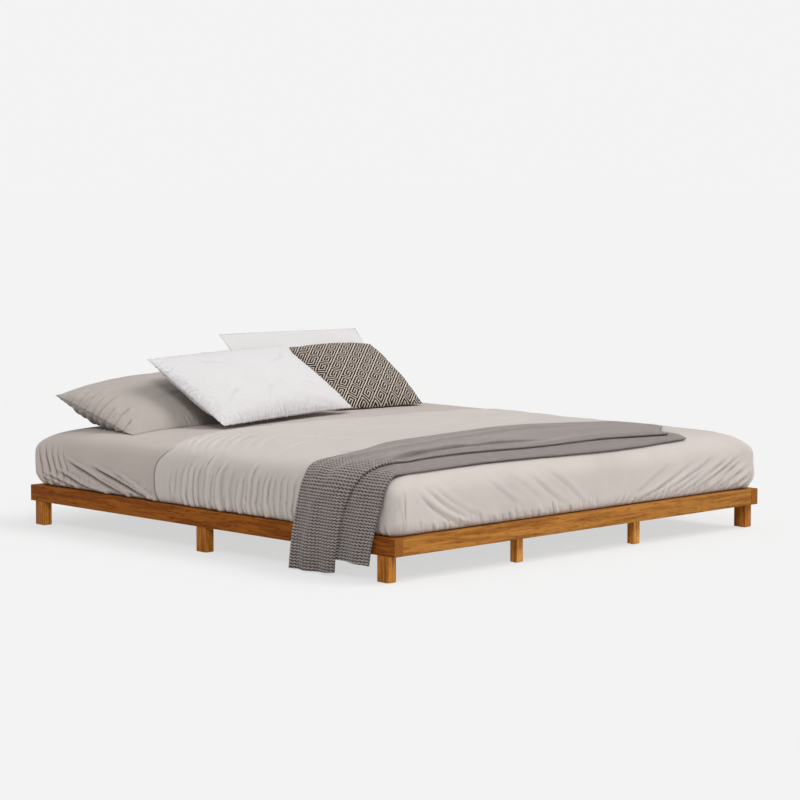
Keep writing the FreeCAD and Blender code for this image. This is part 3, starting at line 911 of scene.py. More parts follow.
def sheet_folds(co, no, run):
    """Folds of the fitted sheet."""
    x, y, z = co[:, 0], co[:, 1], co[:, 2]
    d = np.zeros(len(co))
    left, right = no[:, 0] < -0.3, no[:, 0] > 0.3
    foot, head = no[:, 1] < -0.3, no[:, 1] > 0.3
    band = hill(0.150, 0.172, 0.33, 0.385, z)
    low = hill(0.150, 0.170, 0.21, 0.26, z)
    L = np.where(no[:, 0] < 0, 1.0, 0.0) * sstep(0.2, 0.6, np.abs(no[:, 0]))
    Rr = np.where(no[:, 0] > 0, 1.0, 0.0) * sstep(0.2, 0.6, np.abs(no[:, 0]))
    Hh = np.where(no[:, 1] > 0, 1.0, 0.0) * sstep(0.2, 0.6, np.abs(no[:, 1]))
    F = np.where(no[:, 1] < 0, 1.0, 0.0) * sstep(0.2, 0.6, np.abs(no[:, 1]))
    for pts, w, dep in (
        ([(0.930, 0.232), (0.832, 0.209), (0.763, 0.187), (0.682, 0.170), (0.602, 0.162)], 0.0085, 0.0082),
        ([(0.860, 0.280), (0.790, 0.258), (0.704, 0.235), (0.636, 0.213), (0.545, 0.186), (0.467, 0.165)], 0.0090, 0.0100),
        ([(0.700, 0.270), (0.624, 0.249), (0.522, 0.223), (0.411, 0.191), (0.346, 0.170), (0.302, 0.162)], 0.0090, 0.0098),
        ([(0.640, 0.236), (0.580, 0.216), (0.500, 0.192), (0.430, 0.170)], 0.0070, 0.0042),
        ([(1.000, 0.212), (0.940, 0.200), (0.868, 0.183), (0.798, 0.168)], 0.0075, 0.0056),
        ([(1.010, 0.196), (0.960, 0.186), (0.900, 0.170)], 0.0065, 0.0040),
        ([(0.560, 0.256), (0.470, 0.228), (0.390, 0.199), (0.330, 0.175)], 0.0080, 0.0052),
        ([(0.480, 0.205), (0.420, 0.186), (0.360, 0.168)], 0.0065, 0.0040),
    ):
        d += crease(y, z, pts, -w * 0.78, dep * 1.25, ridge=1.0, taper=0.3, blunt=(False, True)) * L
        # the other long side mirrors them, less strongly
        d += crease(y, z, [(a - 0.03, b) for a, b in pts], -w, dep * 0.75, taper=0.3, blunt=(False, True)) * Rr
    # pleats at the head corners, where the elastic pulls the corner in
    for s, W in ((-1, L), (1, Rr)):
        for q0, dep in ((1.012, 0.0040), (0.975, 0.0055), (0.940, 0.0042), (0.905, 0.0036), (0.868, 0.0026)):
            lean = 0.030 + 0.02 * (1.012 - q0) * 10
            d += crease(y, z, [(q0, 0.350), (q0 - 0.006, 0.290), (q0 - lean * 0.7, 0.220), (q0 - lean, 0.160)],
                        0.0072, dep * 1.15, taper=0.5, blunt=(False, True)) * W
        for q0, dep in ((0.965, 0.005), (0.925, 0.0055), (0.885, 0.004), (0.835, 0.003)):
            d += crease(x * s, z, [(q0, 0.340), (q0 - 0.008, 0.28), (q0 - 0.03, 0.21), (q0 - 0.045, 0.160)],
                        0.0085, dep, taper=0.35, blunt=(False, True)) * Hh
            d += crease(x * s, z, [(q0, 0.340), (q0 - 0.008, 0.28), (q0 - 0.03, 0.21), (q0 - 0.045, 0.160)],
                        0.0085, dep * 0.6, taper=0.35, blunt=(False, True)) * F
    # head side: broad tension folds between the corners
    rr = np.random.RandomState(5)
    for k in range(16):
        q = -0.80 + 1.6 * (k + rr.uniform(-0.3, 0.3)) / 15
        lean = 0.16 * q + rr.uniform(-0.02, 0.02)
        d += crease(x, z, [(q + lean * 0.5, 0.29), (q + lean * 0.2, 0.23), (q - lean * 0.2, 0.158)],
                    0.010 * rr.choice([-1, 1]), rr.uniform(0.001, 0.0034), taper=0.4, blunt=(False, True)) * Hh
    # fine puckers where the cloth goes down behind the rails
    q = np.where(np.abs(no[:, 0]) > np.abs(no[:, 1]), y, x)
    pk = np.abs(noise3(q * 26 + 3 * noise3(q * 4, z * 9, 0, 3), z * 5.0, 0.0, 8)) - 0.22
    d += pk * 0.0060 * low
    # slow waviness everywhere on the sides, and soft wrinkles on top
    d += 0.0030 * noise3(q * 7, z * 5, 0.0, 2) * band
    top = sstep(0.80, 0.97, no[:, 2])
    wr = fbm(x * 5 + 0.7 * y, y * 9, 0.0, 4, 3)
    d += top * (0.0022 * wr + 0.0016 * (np.abs(noise3(x * 7 + y * 6, y * 5 - x * 3, 0, 9)) - 0.2))
    return d * sstep(0.1600, 0.170, z)


def clear_rails(co):
    """Cloth that lies on a rail stays on it."""
    on = (np.abs(co[:, 0]) > 0.9668) | (np.abs(co[:, 1]) > 1.0178)
    co[:, 2] = np.where(on, np.maximum(co[:, 2], 0.1603), co[:, 2])
    low = co[:, 2] < 0.1603
    co[:, 0] = np.where(low, np.clip(co[:, 0], -0.9668, 0.9668), co[:, 0])
    co[:, 1] = np.where(low, np.clip(co[:, 1], -1.0178, 1.0178), co[:, 1])
    return co


SHEET_OB, run, _ = bed_skin("fitted_sheet_linen", 0.0015, 300, 500, 52, f=4, focus=2.0)
_co, _no = coords(SHEET_OB.data), normals(SHEET_OB.data)
_d = sheet_folds(_co, _no, run)
set_coords(SHEET_OB.data, clear_rails(_co + _no * _d[:, None]))
# painted shade in the sheet's folds and painted highlight on the ridges; the relief part only on the sides
_v = paint_fold_shading(SHEET_OB)
paint_relief_shading(SHEET_OB, _v, _d, 1 - sstep(0.6, 0.9, _no[:, 2]), 0.17, 0.004)
SHEET_OB.data.materials.append(SHEET)
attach(SHEET_OB, "mattress")
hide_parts("fitted_sheet")


# --------------------------------------------------------------------- top cover
V_CUT = 0.29


def hem_line(x, z):
    """Where the cover's head-side hem runs, as a y for each place round the bed."""
    ax = np.abs(x)
    side = catmull([0.13, 0.165, 0.197, 0.238, 0.279, 0.322, 0.352, 0.375, 0.392],
                   [0.258, 0.262, 0.277, 0.283, 0.280, 0.264, 0.240, 0.222, 0.215], z)
    on_top = np.where(x < 0,
                      catmull([0.0, 0.25, 0.45, 0.58, 0.70, 0.80, 0.90, 0.96], [0.335, 0.338, 0.336, 0.330, 0.305, 0.270, 0.230, 0.218], ax),
                      catmull([0.0, 0.3, 0.6, 0.8, 0.96], [0.335, 0.315, 0.29, 0.262, 0.24], ax))
    t = sstep(0.930, 0.972, ax)
    return on_top * (1 - t) + side * t


def cover_folds(co, no, run):
    x, y, z = co[:, 0], co[:, 1], co[:, 2]
    d = np.zeros(len(co))
    L = np.where(no[:, 0] < 0, 1.0, 0.0) * sstep(0.15, 0.55, np.abs(no[:, 0]))
    R = np.where(no[:, 0] > 0, 1.0, 0.0) * sstep(0.15, 0.55, np.abs(no[:, 0]))
    F = np.where(no[:, 1] < 0, 1.0, 0.0) * sstep(0.15, 0.55, np.abs(no[:, 1]))
    top = sstep(0.80, 0.97, no[:, 2])
    side = 1 - sstep(0.55, 0.9, no[:, 2])
    # gathers down the long sides: each falls from the top edge to the rail
    rr = np.random.RandomState(21)
    gathers = [
        (0.196, .330, .0026), (0.160, .352, .0030), (0.120, .345, .0052), (0.086, .372, .0056), (0.052, .330, .0034), (0.022, .352, .0058),
        (-0.018, .376, .0050), (-0.052, .330, .0034), (-0.082, .340, .0042), (-0.112, .345, .0056), (-0.140, .320, .0030),
        (-0.163, .348, .0054), (-0.196, .330, .0034), (-0.228, .352, .0046), (-0.256, .320, .0030), (-0.280, .350, .0048),
        (-0.312, .330, .0036), (-0.346, .352, .0044), (-0.378, .330, .0034), (-0.404, .340, .0044), (-0.440, .352, .0036),
        (-0.476, .340, .0040), (-0.512, .330, .0040), (-0.550, .340, .0034), (-0.600, .340, .0034), (-0.660, .320, .0026),
        (-0.720, .330, .0030), (-0.790, .320, .0024), (-0.860, .330, .0030)]
    for q, zt, dep in gathers:
        j = rr.uniform(-0.005, 0.005, 3)
        wd = rr.uniform(0.0058, 0.0082) * (1 if rr.rand() < 0.75 else -1)
        dep *= rr.uniform(0.5, 1.75)
        zt += rr.uniform(-0.045, 0.012)
        zm = 0.160 + (zt - 0.160) * 0.5
        line = [(q - 0.030 + j[0], zt + 0.020), (q - 0.012, zt - 0.02), (q + j[1], zm), (q + 0.004 + j[2], 0.5 * zm + 0.08), (q - 0.004 + j[0], 0.160)]
        d += crease(y, z, line, wd, dep, ridge=1.0, taper=0.42, blunt=(False, True)) * L
        d += crease(y, z, [(a + 0.013, b) for a, b in line], -wd, dep * 0.75, taper=0.30, blunt=(False, True)) * R
    # short ones near the rail between them
    for k in range(34):
        q = 0.20 - 0.036 * k + rr.uniform(-0.012, 0.012)
        zt = rr.uniform(0.20, 0.25)
        d += crease(y, z, [(q + rr.uniform(-0.012, 0.02), zt), (q, 0.19), (q - 0.004, 0.158)], 0.0052 * rr.choice([-1, 1]),
                    rr.uniform(0.0018, 0.0048), taper=0.4, blunt=(False, True)) * (L + R)
    # foot side: soft diagonals that fall away from the near corner ...
    for line, w, dep in (
        ([(-0.905, 0.340), (-0.860, 0.292), (-0.800, 0.246), (-0.720, 0.203), (-0.620, 0.170), (-0.540, 0.157)], 0.0085, 0.0042),
        ([(-0.870, 0.345), (-0.810, 0.300), (-0.740, 0.252), (-0.660, 0.214), (-0.58, 0.182)], 0.0080, 0.0026),
        ([(-0.840, 0.352), (-0.760, 0.297), (-0.690, 0.252), (-0.610, 0.214), (-0.52, 0.187)], 0.0085, 0.0020),
        ([(-0.560, 0.345), (-0.470, 0.288), (-0.400, 0.242), (-0.330, 0.200)], 0.0090, 0.0017),
        ([(-0.440, 0.355), (-0.350, 0.300), (-0.270, 0.245), (-0.21, 0.20)], 0.0085, 0.0012),
        ([(-0.350, 0.355), (-0.250, 0.288), (-0.155, 0.223), (-0.068, 0.183)], 0.0090, 0.0019),
        ([(-0.240, 0.355), (-0.130, 0.290), (-0.020, 0.205), (0.02, 0.175)], 0.0090, 0.0018),
        # ... and tension folds that climb to the far corner
        ([(0.230, 0.180), (0.330, 0.222), (0.430, 0.272), (0.520, 0.318)], 0.0085, 0.0020),
        ([(0.330, 0.170), (0.440, 0.214), (0.560, 0.268), (0.660, 0.315)], 0.0080, 0.0024),
        ([(0.420, 0.172), (0.549, 0.222), (0.672, 0.272), (0.790, 0.328)], 0.0080, 0.0036),
        ([(0.520, 0.166), (0.626, 0.206), (0.735, 0.250), (0.876, 0.306)], 0.0080, 0.0042),
        ([(0.590, 0.164), (0.700, 0.204), (0.813, 0.252), (0.945, 0.320)], 0.0080, 0.0042),
        ([(0.690, 0.165), (0.800, 0.212), (0.925, 0.285)], 0.0075, 0.0036),
        ([(0.780, 0.165), (0.870, 0.205), (0.955, 0.258)], 0.009, 0.0036),
        ([(0.860, 0.165), (0.930, 0.200), (0.985, 0.235)], 0.008, 0.0028),
    ):
        d += crease(x, z, line, w, dep, taper=0.32) * F
    for k in range(13):
        xe = 0.26 + 0.058 * k + rr.uniform(-0.012, 0.012)
        run_ = min(0.34, 0.985 - xe) * rr.uniform(0.75, 1.0)
        sl = 0.27 + 0.012 * k + rr.uniform(-0.03, 0.03)
        line = [(xe, 0.162), (xe + run_ * 0.33, 0.162 + run_ * 0.33 * sl * 0.9), (xe + run_ * 0.66, 0.162 + run_ * 0.66 * sl), (xe + run_, 0.162 + run_ * sl * 1.12)]
        d += crease(x, z, line, rr.uniform(0.0048, 0.0066), rr.uniform(0.0016, 0.0036), ridge=0.85, taper=0.34, blunt=(False, False)) * F
    for k in range(46):
        q = -0.86 + 0.039 * k + rr.uniform(-0.012, 0.012)
        lean = -0.030 if q < 0.1 else 0.034
        zt = rr.uniform(0.185, 0.232)
        d += crease(x, z, [(q + lean, zt), (q + lean * 0.4, 0.185), (q, 0.158)], 0.0065 * rr.choice([-1, 1]),
                    rr.uniform(0.0012, 0.0030), taper=0.45, blunt=(False, True)) * F
    # the seam of the near foot corner and the folded flap of the far one
    d += crease(x, z, [(-0.950, 0.335), (-0.949, 0.25), (-0.948, 0.160)], 0.0055, 0.0030, ridge=0.5, taper=0.2, blunt=(False, True)) * F
    d += crease(x, z, [(0.972, 0.350), (0.985, 0.318), (0.992, 0.262), (0.972, 0.205), (0.945, 0.168)], 0.0065, 0.0050, ridge=0.9, taper=0.2, blunt=(False, True)) * sstep(0.1, 0.4, np.abs(no[:, 1]))
    # soft ridges on top, run out from the hem towards the pillows
    for line, w, dep in (
        ([(-0.970, 0.110), (-0.925, 0.150), (-0.860, 0.205), (-0.790, 0.250)], 0.014, 0.0034),
        ([(-0.975, 0.005), (-0.930, 0.062), (-0.850, 0.125), (-0.740, 0.195), (-0.600, 0.280)], 0.014, 0.0036),
        ([(-0.970, -0.090), (-0.905, -0.025), (-0.810, 0.060), (-0.700, 0.140), (-0.560, 0.240)], 0.014, 0.0032),
        ([(-0.960, -0.190), (-0.870, -0.120), (-0.760, -0.030), (-0.620, 0.075), (-0.480, 0.150)], 0.015, 0.0030),
        ([(-0.700, 0.290), (-0.620, 0.250), (-0.520, 0.240), (-0.400, 0.270)], 0.013, 0.0032),
        ([(-0.600, 0.180), (-0.480, 0.190), (-0.340, 0.240), (-0.220, 0.290)], 0.013, 0.0030),
        ([(-0.300, 0.120), (-0.140, 0.110), (0.020, 0.140), (0.140, 0.200)], 0.014, 0.0028),
        ([(0.240, 0.040), (0.420, 0.030), (0.600, 0.060), (0.760, 0.120)], 0.015, 0.0030),
        ([(0.300, -0.080), (0.520, -0.110), (0.740, -0.080)], 0.015, 0.0028),
        ([(-0.700, -0.120), (-0.520, -0.060), (-0.340, -0.060), (-0.160, -0.100)], 0.016, 0.0028),
        ([(-0.975, 0.045), (-0.935, 0.105), (-0.860, 0.165), (-0.765, 0.225), (-0.640, 0.300)], 0.016, 0.0048),
        ([(-0.975, -0.050), (-0.925, 0.015), (-0.850, 0.080), (-0.767, 0.140), (-0.640, 0.240)], 0.017, 0.0046),
        ([(-0.965, -0.130), (-0.890, -0.060), (-0.777, 0.035), (-0.640, 0.130), (-0.50, 0.20)], 0.018, 0.0036),
        ([(-0.960, -0.250), (-0.860, -0.180), (-0.740, -0.080), (-0.600, 0.020), (-0.44, 0.09)], 0.020, 0.0034),
        ([(-0.950, -0.360), (-0.820, -0.290), (-0.660, -0.200), (-0.480, -0.130)], 0.021, 0.0028),
        ([(-0.400, 0.230), (-0.250, 0.180), (-0.080, 0.170), (0.120, 0.200)], 0.020, 0.0022),
        ([(-0.350, 0.060), (-0.180, 0.000), (0.050, -0.010), (0.300, 0.040)], 0.024, 0.0026),
        ([(0.150, 0.240), (0.300, 0.160), (0.480, 0.120), (0.700, 0.140)], 0.020, 0.0026),
        ([(0.100, -0.180), (0.300, -0.240), (0.520, -0.240), (0.760, -0.180)], 0.024, 0.0024),
        ([(0.420, 0.270), (0.520, 0.180), (0.640, 0.120)], 0.016, 0.0028),
        ([(0.560, 0.280), (0.650, 0.200), (0.780, 0.150)], 0.016, 0.0026),
        ([(-0.560, -0.250), (-0.400, -0.300), (-0.200, -0.310)], 0.022, 0.0020),
    ):
        d += crease(x, y, line, w * 0.52, dep * 0.85, ridge=0.9, taper=0.45) * sstep(0.35, 0.75, no[:, 2])
    # low wrinkles of the washed cloth
    wr = fbm(x * 3.2 + 0.8 * y, y * 6.5, 0.0, 14, 3)
    d += top * (0.0040 * wr + 0.0040 * (0.22 - np.abs(noise3(x * 4.5 + y * 3.2, y * 4.2 - x * 2.1, 0, 19)))
                + 0.0012 * noise3(x * 15, y * 19, 0, 23))
    q = np.where(np.abs(no[:, 0]) > np.abs(no[:, 1]), y, x)
    d += side * (0.0028 * noise3(q * 6.0, z * 5.0, 0, 31) + 0.0012 * noise3(q * 17, z * 12, 0, 33))
    return d * sstep(0.1600, 0.170, z)


COVER_OB, run, sq = bed_skin("top_cover_linen", 0.0042, 460, 500, 50, v_cut=V_CUT)
_co = coords(COVER_OB.data)
_no = normals(COVER_OB.data)
# slide the head-side rows onto the hem's own line
_edge = sq[:, 1] > sq[:, 1].max() - 1e-4
_s = np.where(run >= 0, run, np.abs(_co[:, 0]) / (HX - D0) - 1.0)
_o = np.argsort(_s[_edge])
_y_cut = np.interp(_s, _s[_edge][_o], _co[_edge][_o, 1])
_fall = sstep(-0.42, 0.0, _co[:, 1] - _y_cut)
_want = hem_line(_co[:, 0], _co[:, 2])
_co[:, 1] += _fall * (_want - _y_cut)
_gap = np.maximum(_want - _co[:, 1], 0)
_d = cover_folds(_co, _no, run)
_d += 0.0008 * np.exp(-(_gap / 0.0045) ** 2)
_d += 0.0022 * (1 - sstep(0.0, 0.06, _gap)) * (1 - sstep(0.6, 0.95, _no[:, 2]))
set_coords(COVER_OB.data, clear_rails(_co + _no * _d[:, None]))


# painted shade in the cover's folds and painted highlight on the ridges, weaker on top
_v = paint_fold_shading(COVER_OB)
# the shadow line of the hem down the sides
_co = coords(COVER_OB.data)
_v = np.clip(_v, -0.35, 0.62) * (1 - 0.35 * sstep(0.6, 0.9, _no[:, 2]))
_v = np.maximum(_v, np.clip(1.6 - _gap / 0.006, 0, 1) * (1 - sstep(0.350, 0.378, _co[:, 2])))
paint_relief_shading(COVER_OB, _v, _d, 1 - sstep(0.6, 0.9, _no[:, 2]), 0.15, 0.0035)
COVER_OB.data.materials.append(COVER)
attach(COVER_OB, "mattress")
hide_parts("top_cover")

# ------------------------------------------------------------------------ throw
# Path of the throw's underside in x and z, from the hem that hangs beside the
# left rail, up over the mattress edge and across the foot of the bed.
THROW_T = 0.0042
ZIG = 0.15
ROW, STITCH = 0.0112, 0.70 / 41
_lay = [(-(HX + 0.0105 - d), z + 0.0075) for d, z in PROF[::-1] if 0.010 < d and z > 0.345]
PATH = np.array([(-1.0125, 0.0), (-1.0125, 0.08), (-1.0125, 0.165), (-1.0105, 0.225), (-1.0070, 0.272), (-1.0025, 0.312)]
                + [(x, z) for x, z in _lay])
PATH = np.concatenate([PATH, [(0.45, 0.4079), (0.60, 0.4072), (0.80, 0.402)]])
PATH[:, 1] = np.maximum.accumulate(np.r_[PATH[:-2, 1], PATH[-3, 1], PATH[-3, 1]])
_pq = np.r_[0, np.cumsum(np.hypot(*(PATH[1:] - PATH[:-1]).T))]


def path_q(x, z):
    p = np.array([x, z])
    best, q = 1e9, 0.0
    for k in range(len(PATH) - 1):
        v = PATH[k + 1] - PATH[k]
        t = np.clip((p - PATH[k]) @ v / (v @ v), 0, 1)
        d = np.hypot(*(p - PATH[k] - t * v))
        if d < best:
            best, q = d, _pq[k] + t * (_pq[k + 1] - _pq[k])
    return q


HANG_X = -1.0125
_head = [(HANG_X, 0.0, -0.537), (HANG_X, 0.143, -0.547), (HANG_X, 0.265, -0.565), (-1.0, 0.328, -0.576), (-0.951, 0.385, -0.572),
         (-0.876, 0.404, -0.596), (-0.707, 0.408, -0.566), (-0.51, 0.408, -0.480), (-0.327, 0.408, -0.432), (-0.133, 0.408, -0.402),
         (0.053, 0.408, -0.380), (0.245, 0.408, -0.366), (0.388, 0.408, -0.393), (0.546, 0.407, -0.462), (0.706, 0.406, -0.538),
         (0.78, 0.404, -0.575)]
_pleat = [(HANG_X, 0.0, -0.778), (HANG_X, 0.052, -0.781), (HANG_X, 0.114, -0.791), (HANG_X, 0.169, -0.803), (HANG_X, 0.242, -0.818),
          (HANG_X, 0.297, -0.842), (-1.0, 0.335, -0.864), (-0.955, 0.382, -0.892), (-0.841, 0.406, -0.925), (-0.697, 0.408, -0.908),
          (-0.548, 0.408, -0.899), (-0.409, 0.408, -0.904), (-0.181, 0.408, -0.924), (-0.018, 0.408, -0.926), (0.171, 0.408, -0.920),
          (0.368, 0.408, -0.938), (0.537, 0.408, -0.958), (0.78, 0.404, -0.975)]
_foot = [(HANG_X, 0.0, -0.932), (HANG_X, 0.10, -0.948), (HANG_X, 0.187, -0.974), (HANG_X, 0.26, -0.996), (HANG_X, 0.31, -1.006),
         (-0.979, 0.362, -1.008), (-0.93, 0.392, -1.006), (-0.727, 0.408, -1.000), (-0.517, 0.408, -0.996), (-0.259, 0.408, -0.998),
         (-0.101, 0.408, -1.003), (0.111, 0.408, -1.009), (0.409, 0.408, -1.006), (0.631, 0.406, -0.996), (0.78, 0.404, -0.99)]


def edge_curve(pts):
    q = np.array([path_q(x, z) for x, z, _ in pts])
    keep = np.r_[True, np.diff(q) > 0.004]
    return q[keep], np.array([p[2] for p in pts])[keep]


def make_throw():
    W = 0.700
    qh, yh = edge_curve(_head)
    qp, yp = edge_curve(_pleat)
    qf, yf = edge_curve(_foot)
    q0 = 0.0
    q_of_x = lambda x: np.interp(x, PATH[6:, 0], _pq[6:])
    rows, cols = 776, 82
    r = 0.0024

    def build(nr, nc, lift, ridges):
        t = np.linspace(0, W, nc + 1)[None, :] + np.zeros((nr + 1, 1))
        f = np.linspace(0, 1, nr + 1)[:, None] + np.zeros((1, nc + 1))
        # where each column starts and ends along the path
        q_mid0 = 0.0
        yh_, yp_, yf_ = (float(catmull(a, b, [0.05])[0]) for a, b in ((qh, yh), (qp, yp), (qf, yf)))
        p0 = (W - (yh_ - yf_)) / 2
        a0 = yh_ - yp_
        start = catmull([0, a0 * 0.5, a0, a0 + p0, a0 + p0 + 0.04, W], [0.0050, 0.0060, 0.0140, 0.040, 0.050, 0.054], t)
        xe = 0.70
        qe = float(q_of_x(0.66))
        yh_, yp_, yf_ = (float(catmull(a, b, [qe])[0]) for a, b in ((qh, yh), (qp, yp), (qf, yf)))
        p1 = (W - (yh_ - yf_)) / 2
        a1 = yh_ - yp_
        end = catmull([0, a1 * 0.22, a1 * 0.50, a1 * 0.77, a1, a1 + p1, a1 + 2 * p1, W],
                      [0.706, 0.737, 0.738, 0.650, 0.572, 0.600, 0.640, 0.634], t)
        end = q_of_x(end)
        q = start + (end - start) * f
        # soft waver of the edges, as worn cloth has
        H = catmull(qh, yh, q.ravel()).reshape(q.shape) + 0.0035 * noise3(q * 6, 0.3 + 0 * q, 0, 41)
        P = catmull(qp, yp, q.ravel()).reshape(q.shape) + 0.0030 * noise3(q * 5, 2.3 + 0 * q, 0, 42)
        F = catmull(qf, yf, q.ravel()).reshape(q.shape) + 0.0030 * noise3(q * 6, 4.3 + 0 * q, 0, 43)
        p = (W - (H - F)) / 2
        a = H - P
        top = 4 * r
        y = np.zeros_like(q)
        h = np.zeros_like(q)
        quarter = math.pi * r / 2
        # the layer on top
        m = t < a - quarter
        y[m] = (H - t * (1 - 0.0 * a))[m]
        climb = 1 - sstep(0.006, 0.055, y - (P + p))
        h = np.where(m, top * climb, h)
        # folded edge
        m1 = (t >= a - quarter) & (t < a + quarter)
        ph = np.clip((t - a) / r, -math.pi / 2, math.pi / 2)
        y = np.where(m1, P + quarter - r * np.cos(ph), y)
        h = np.where(m1, top - r - r * np.sin(ph), h)
        # going back underneath
        m2 = (t >= a + quarter) & (t < a + p - quarter)
        y = np.where(m2, P + quarter + (t - a - quarter), y)
        h = np.where(m2, top - 2 * r, h)
        m3 = (t >= a + p - quarter) & (t < a + p + quarter)
        ph = np.clip((t - a - p) / r, -math.pi / 2, math.pi / 2)
        y = np.where(m3, P + p - quarter + r * np.cos(ph), y)
        h = np.where(m3, top - 3 * r - r * np.sin(ph), h)
        m4 = t >= a + p + quarter
        y = np.where(m4, P + p - quarter - (t - a - p - quarter), y)
        h = np.where(m4, 0.0, h)
        # fuller folded edges where it hangs
        hang = 1 - sstep(0.30, 0.42, q)
        # long soft folds: one shallow ridge across the bed, others where it hangs
        rx = catmull([-1.02, -0.9, -0.833, -0.70, -0.553, -0.35, -0.175, 0.0, 0.2, 0.4], [-0.895, -0.895, -0.888, -0.862, -0.832, -0.802, -0.785, -0.800, -0.84, -0.87], np.interp(q, _pq, PATH[:, 0]))
        env = hill(0.42, 0.66, 1.10, 1.50, q)
        w = 0.013
        top_layer = t < a
        ridge = np.exp(-((y - rx - 0.012) / 0.0105) ** 2) * 0.0150 + np.exp(-((y - rx - 0.055) / 0.016) ** 2) * 0.0060
        h = h + np.where(top_layer, env * ridge, 0)
        rx2 = catmull([-1.02, -0.8, -0.5, -0.1, 0.3, 0.7], [-0.64, -0.655, -0.60, -0.52, -0.49, -0.62], np.interp(q, _pq, PATH[:, 0]))
        h = h + np.where(top_layer, 0.0048 * np.exp(-((y - rx2) / 0.022) ** 2) * hill(0.15, 0.5, 1.6, 1.95, q), 0)
        rx3 = catmull([-1.02, -0.7, -0.3, 0.2, 0.7], [-0.86, -0.86, -0.845, -0.83, -0.80], np.interp(q, _pq, PATH[:, 0]))
        h = h + np.where(top_layer, 0.0050 * np.exp(-((y - rx3) / 0.016) ** 2) * hill(0.45, 0.7, 1.5, 1.95, q), 0)
        h = h + np.where(t < a, 0.0022, 0.0012) * (noise3(q * 4.0, y * 14, 0, 44) + 0.4) * (t < a - 0.02)
        # hanging part: vertical flutes that open towards the hem
        fl = 0.5 + 0.5 * np.sin((y + 0.545) * 2 * math.pi / 0.118 + 1.3 * noise3(q * 3.0, 0 * q, 0, 45) * 2.0)
        fl2 = 0.5 + noise3(y * 16, q * 3.2, 0, 46)
        out = hang * (0.004 + 0.015 * (1 - q / 0.42)) * (0.62 * fl + 0.5 * fl2) * np.where(top_layer, 1.0, 0.72)
        out = np.maximum(out, 0)
        out = out + 0.007 * (1 - sstep(0.0, 0.26, q)) * np.exp(-((y + 0.53) / 0.075) ** 2)
        # lower layer must not come through the top one
        h = h + out
        # position on the path and its normal
        X = catmull(_pq, PATH[:, 0], q.ravel()).reshape(q.shape)
        Z = catmull(_pq, PATH[:, 1], q.ravel()).reshape(q.shape)
        e = 1e-3
        dX = catmull(_pq, PATH[:, 0], (q + e).ravel()).reshape(q.shape) - catmull(_pq, PATH[:, 0], (q - e).ravel()).reshape(q.shape)
        dZ = catmull(_pq, PATH[:, 1], (q + e).ravel()).reshape(q.shape) - catmull(_pq, PATH[:, 1], (q - e).ravel()).reshape(q.shape)
        L = np.hypot(dX, dZ) + 1e-12
        nX, nZ = -dZ / L, dX / L
        # the foot edge of the mattress rounds off under it
        inset = HY + 0.0125 - np.abs(y)
        zf = np.interp(-inset, -PROF[:, 0], PROF[:, 1] + 0.0075)
        drop = np.maximum(0, np.minimum(0.4075, Z) - np.minimum(zf, 0.4075))
        on_top = sstep(0.325, 0.375, Z)
        Z = Z - drop * on_top
        tilt = 0.9 * sstep(0.95, 1.03, np.abs(y)) * on_top
        nY = -tilt
        k = np.sqrt(nX**2 + nY**2 + nZ**2)
        nX, nY, nZ = nX / k, nY / k, nZ / k
        hh = h + lift + THROW_T * 0.5
        if ridges:
            hh = hh + 0.0018 * (np.abs(np.sin(math.pi * (q / ROW + ZIG * np.cos(2 * math.pi * t / STITCH)))) - 0.5)
        # painted shadow: a dark band along the foot of the fold ridge on the top layer
        shade = np.where(top_layer, env * np.exp(-((y - rx + 0.003) / 0.008) ** 2), 0.0)
        return np.stack([X + nX * hh, y + nY * hh, Z + nZ * hh], -1), t, q, shade

    A, t, q, shade = build(rows, cols, THROW_T * 0.5, True)
    B, tb, qb, _ = build(rows // 4, cols // 2, -THROW_T * 0.5, False)
    for G in (A, B):
        # keep it off the bed
        flat = G.reshape(-1, 3)
        hit_z = np.full(len(flat), -1.0)
        sel = np.where((flat[:, 2] > 0.34) & (flat[:, 0] > -0.985))[0]
        for i in sel:
            h_ = BED_TREE.ray_cast(Vector((flat[i, 0], flat[i, 1], 0.6)), Vector((0, 0, -1)))
            if h_[0] is not None:
                hit_z[i] = h_[0][2]
        low = hit_z + (0.0012 if G is B else 0.0012 + THROW_T * 0.8)
        flat[:, 2] = np.where(hit_z > 0, np.maximum(flat[:, 2], low), flat[:, 2])
        side = (flat[:, 2] < 0.165)
        flat[side, 0] = np.minimum(flat[side, 0], -1.0105)
        flat[:, 2] = np.maximum(flat[:, 2], 0.0035)
    na, ma = A.shape[:2]
    nb_, mb = B.shape[:2]
    verts = np.concatenate([A.reshape(-1, 3), B.reshape(-1, 3)])
    uv = np.concatenate([np.stack([t, q], -1).reshape(-1, 2), np.stack([tb + 1.0, qb], -1).reshape(-1, 2)])
    faces = []
    ia = np.arange(na * ma).reshape(na, ma)
    ib = np.arange(nb_ * mb).reshape(nb_, mb) + na * ma
    fa = np.stack([ia[:-1, :-1], ia[:-1, 1:], ia[1:, 1:], ia[1:, :-1]], -1).reshape(-1, 4)
    fb = np.stack([ib[:-1, :-1], ib[1:, :-1], ib[1:, 1:], ib[:-1, 1:]], -1).reshape(-1, 4)
    faces = fa.tolist() + fb.tolist()

    def rim(top_ids, low_ids, step, flip):
        for k in range(len(low_ids) - 1):
            seg = [int(i) for i in top_ids[k * step:(k + 1) * step + 1]]
            f = seg + [int(low_ids[k + 1]), int(low_ids[k])]
            faces.append(f[::-1] if flip else f)

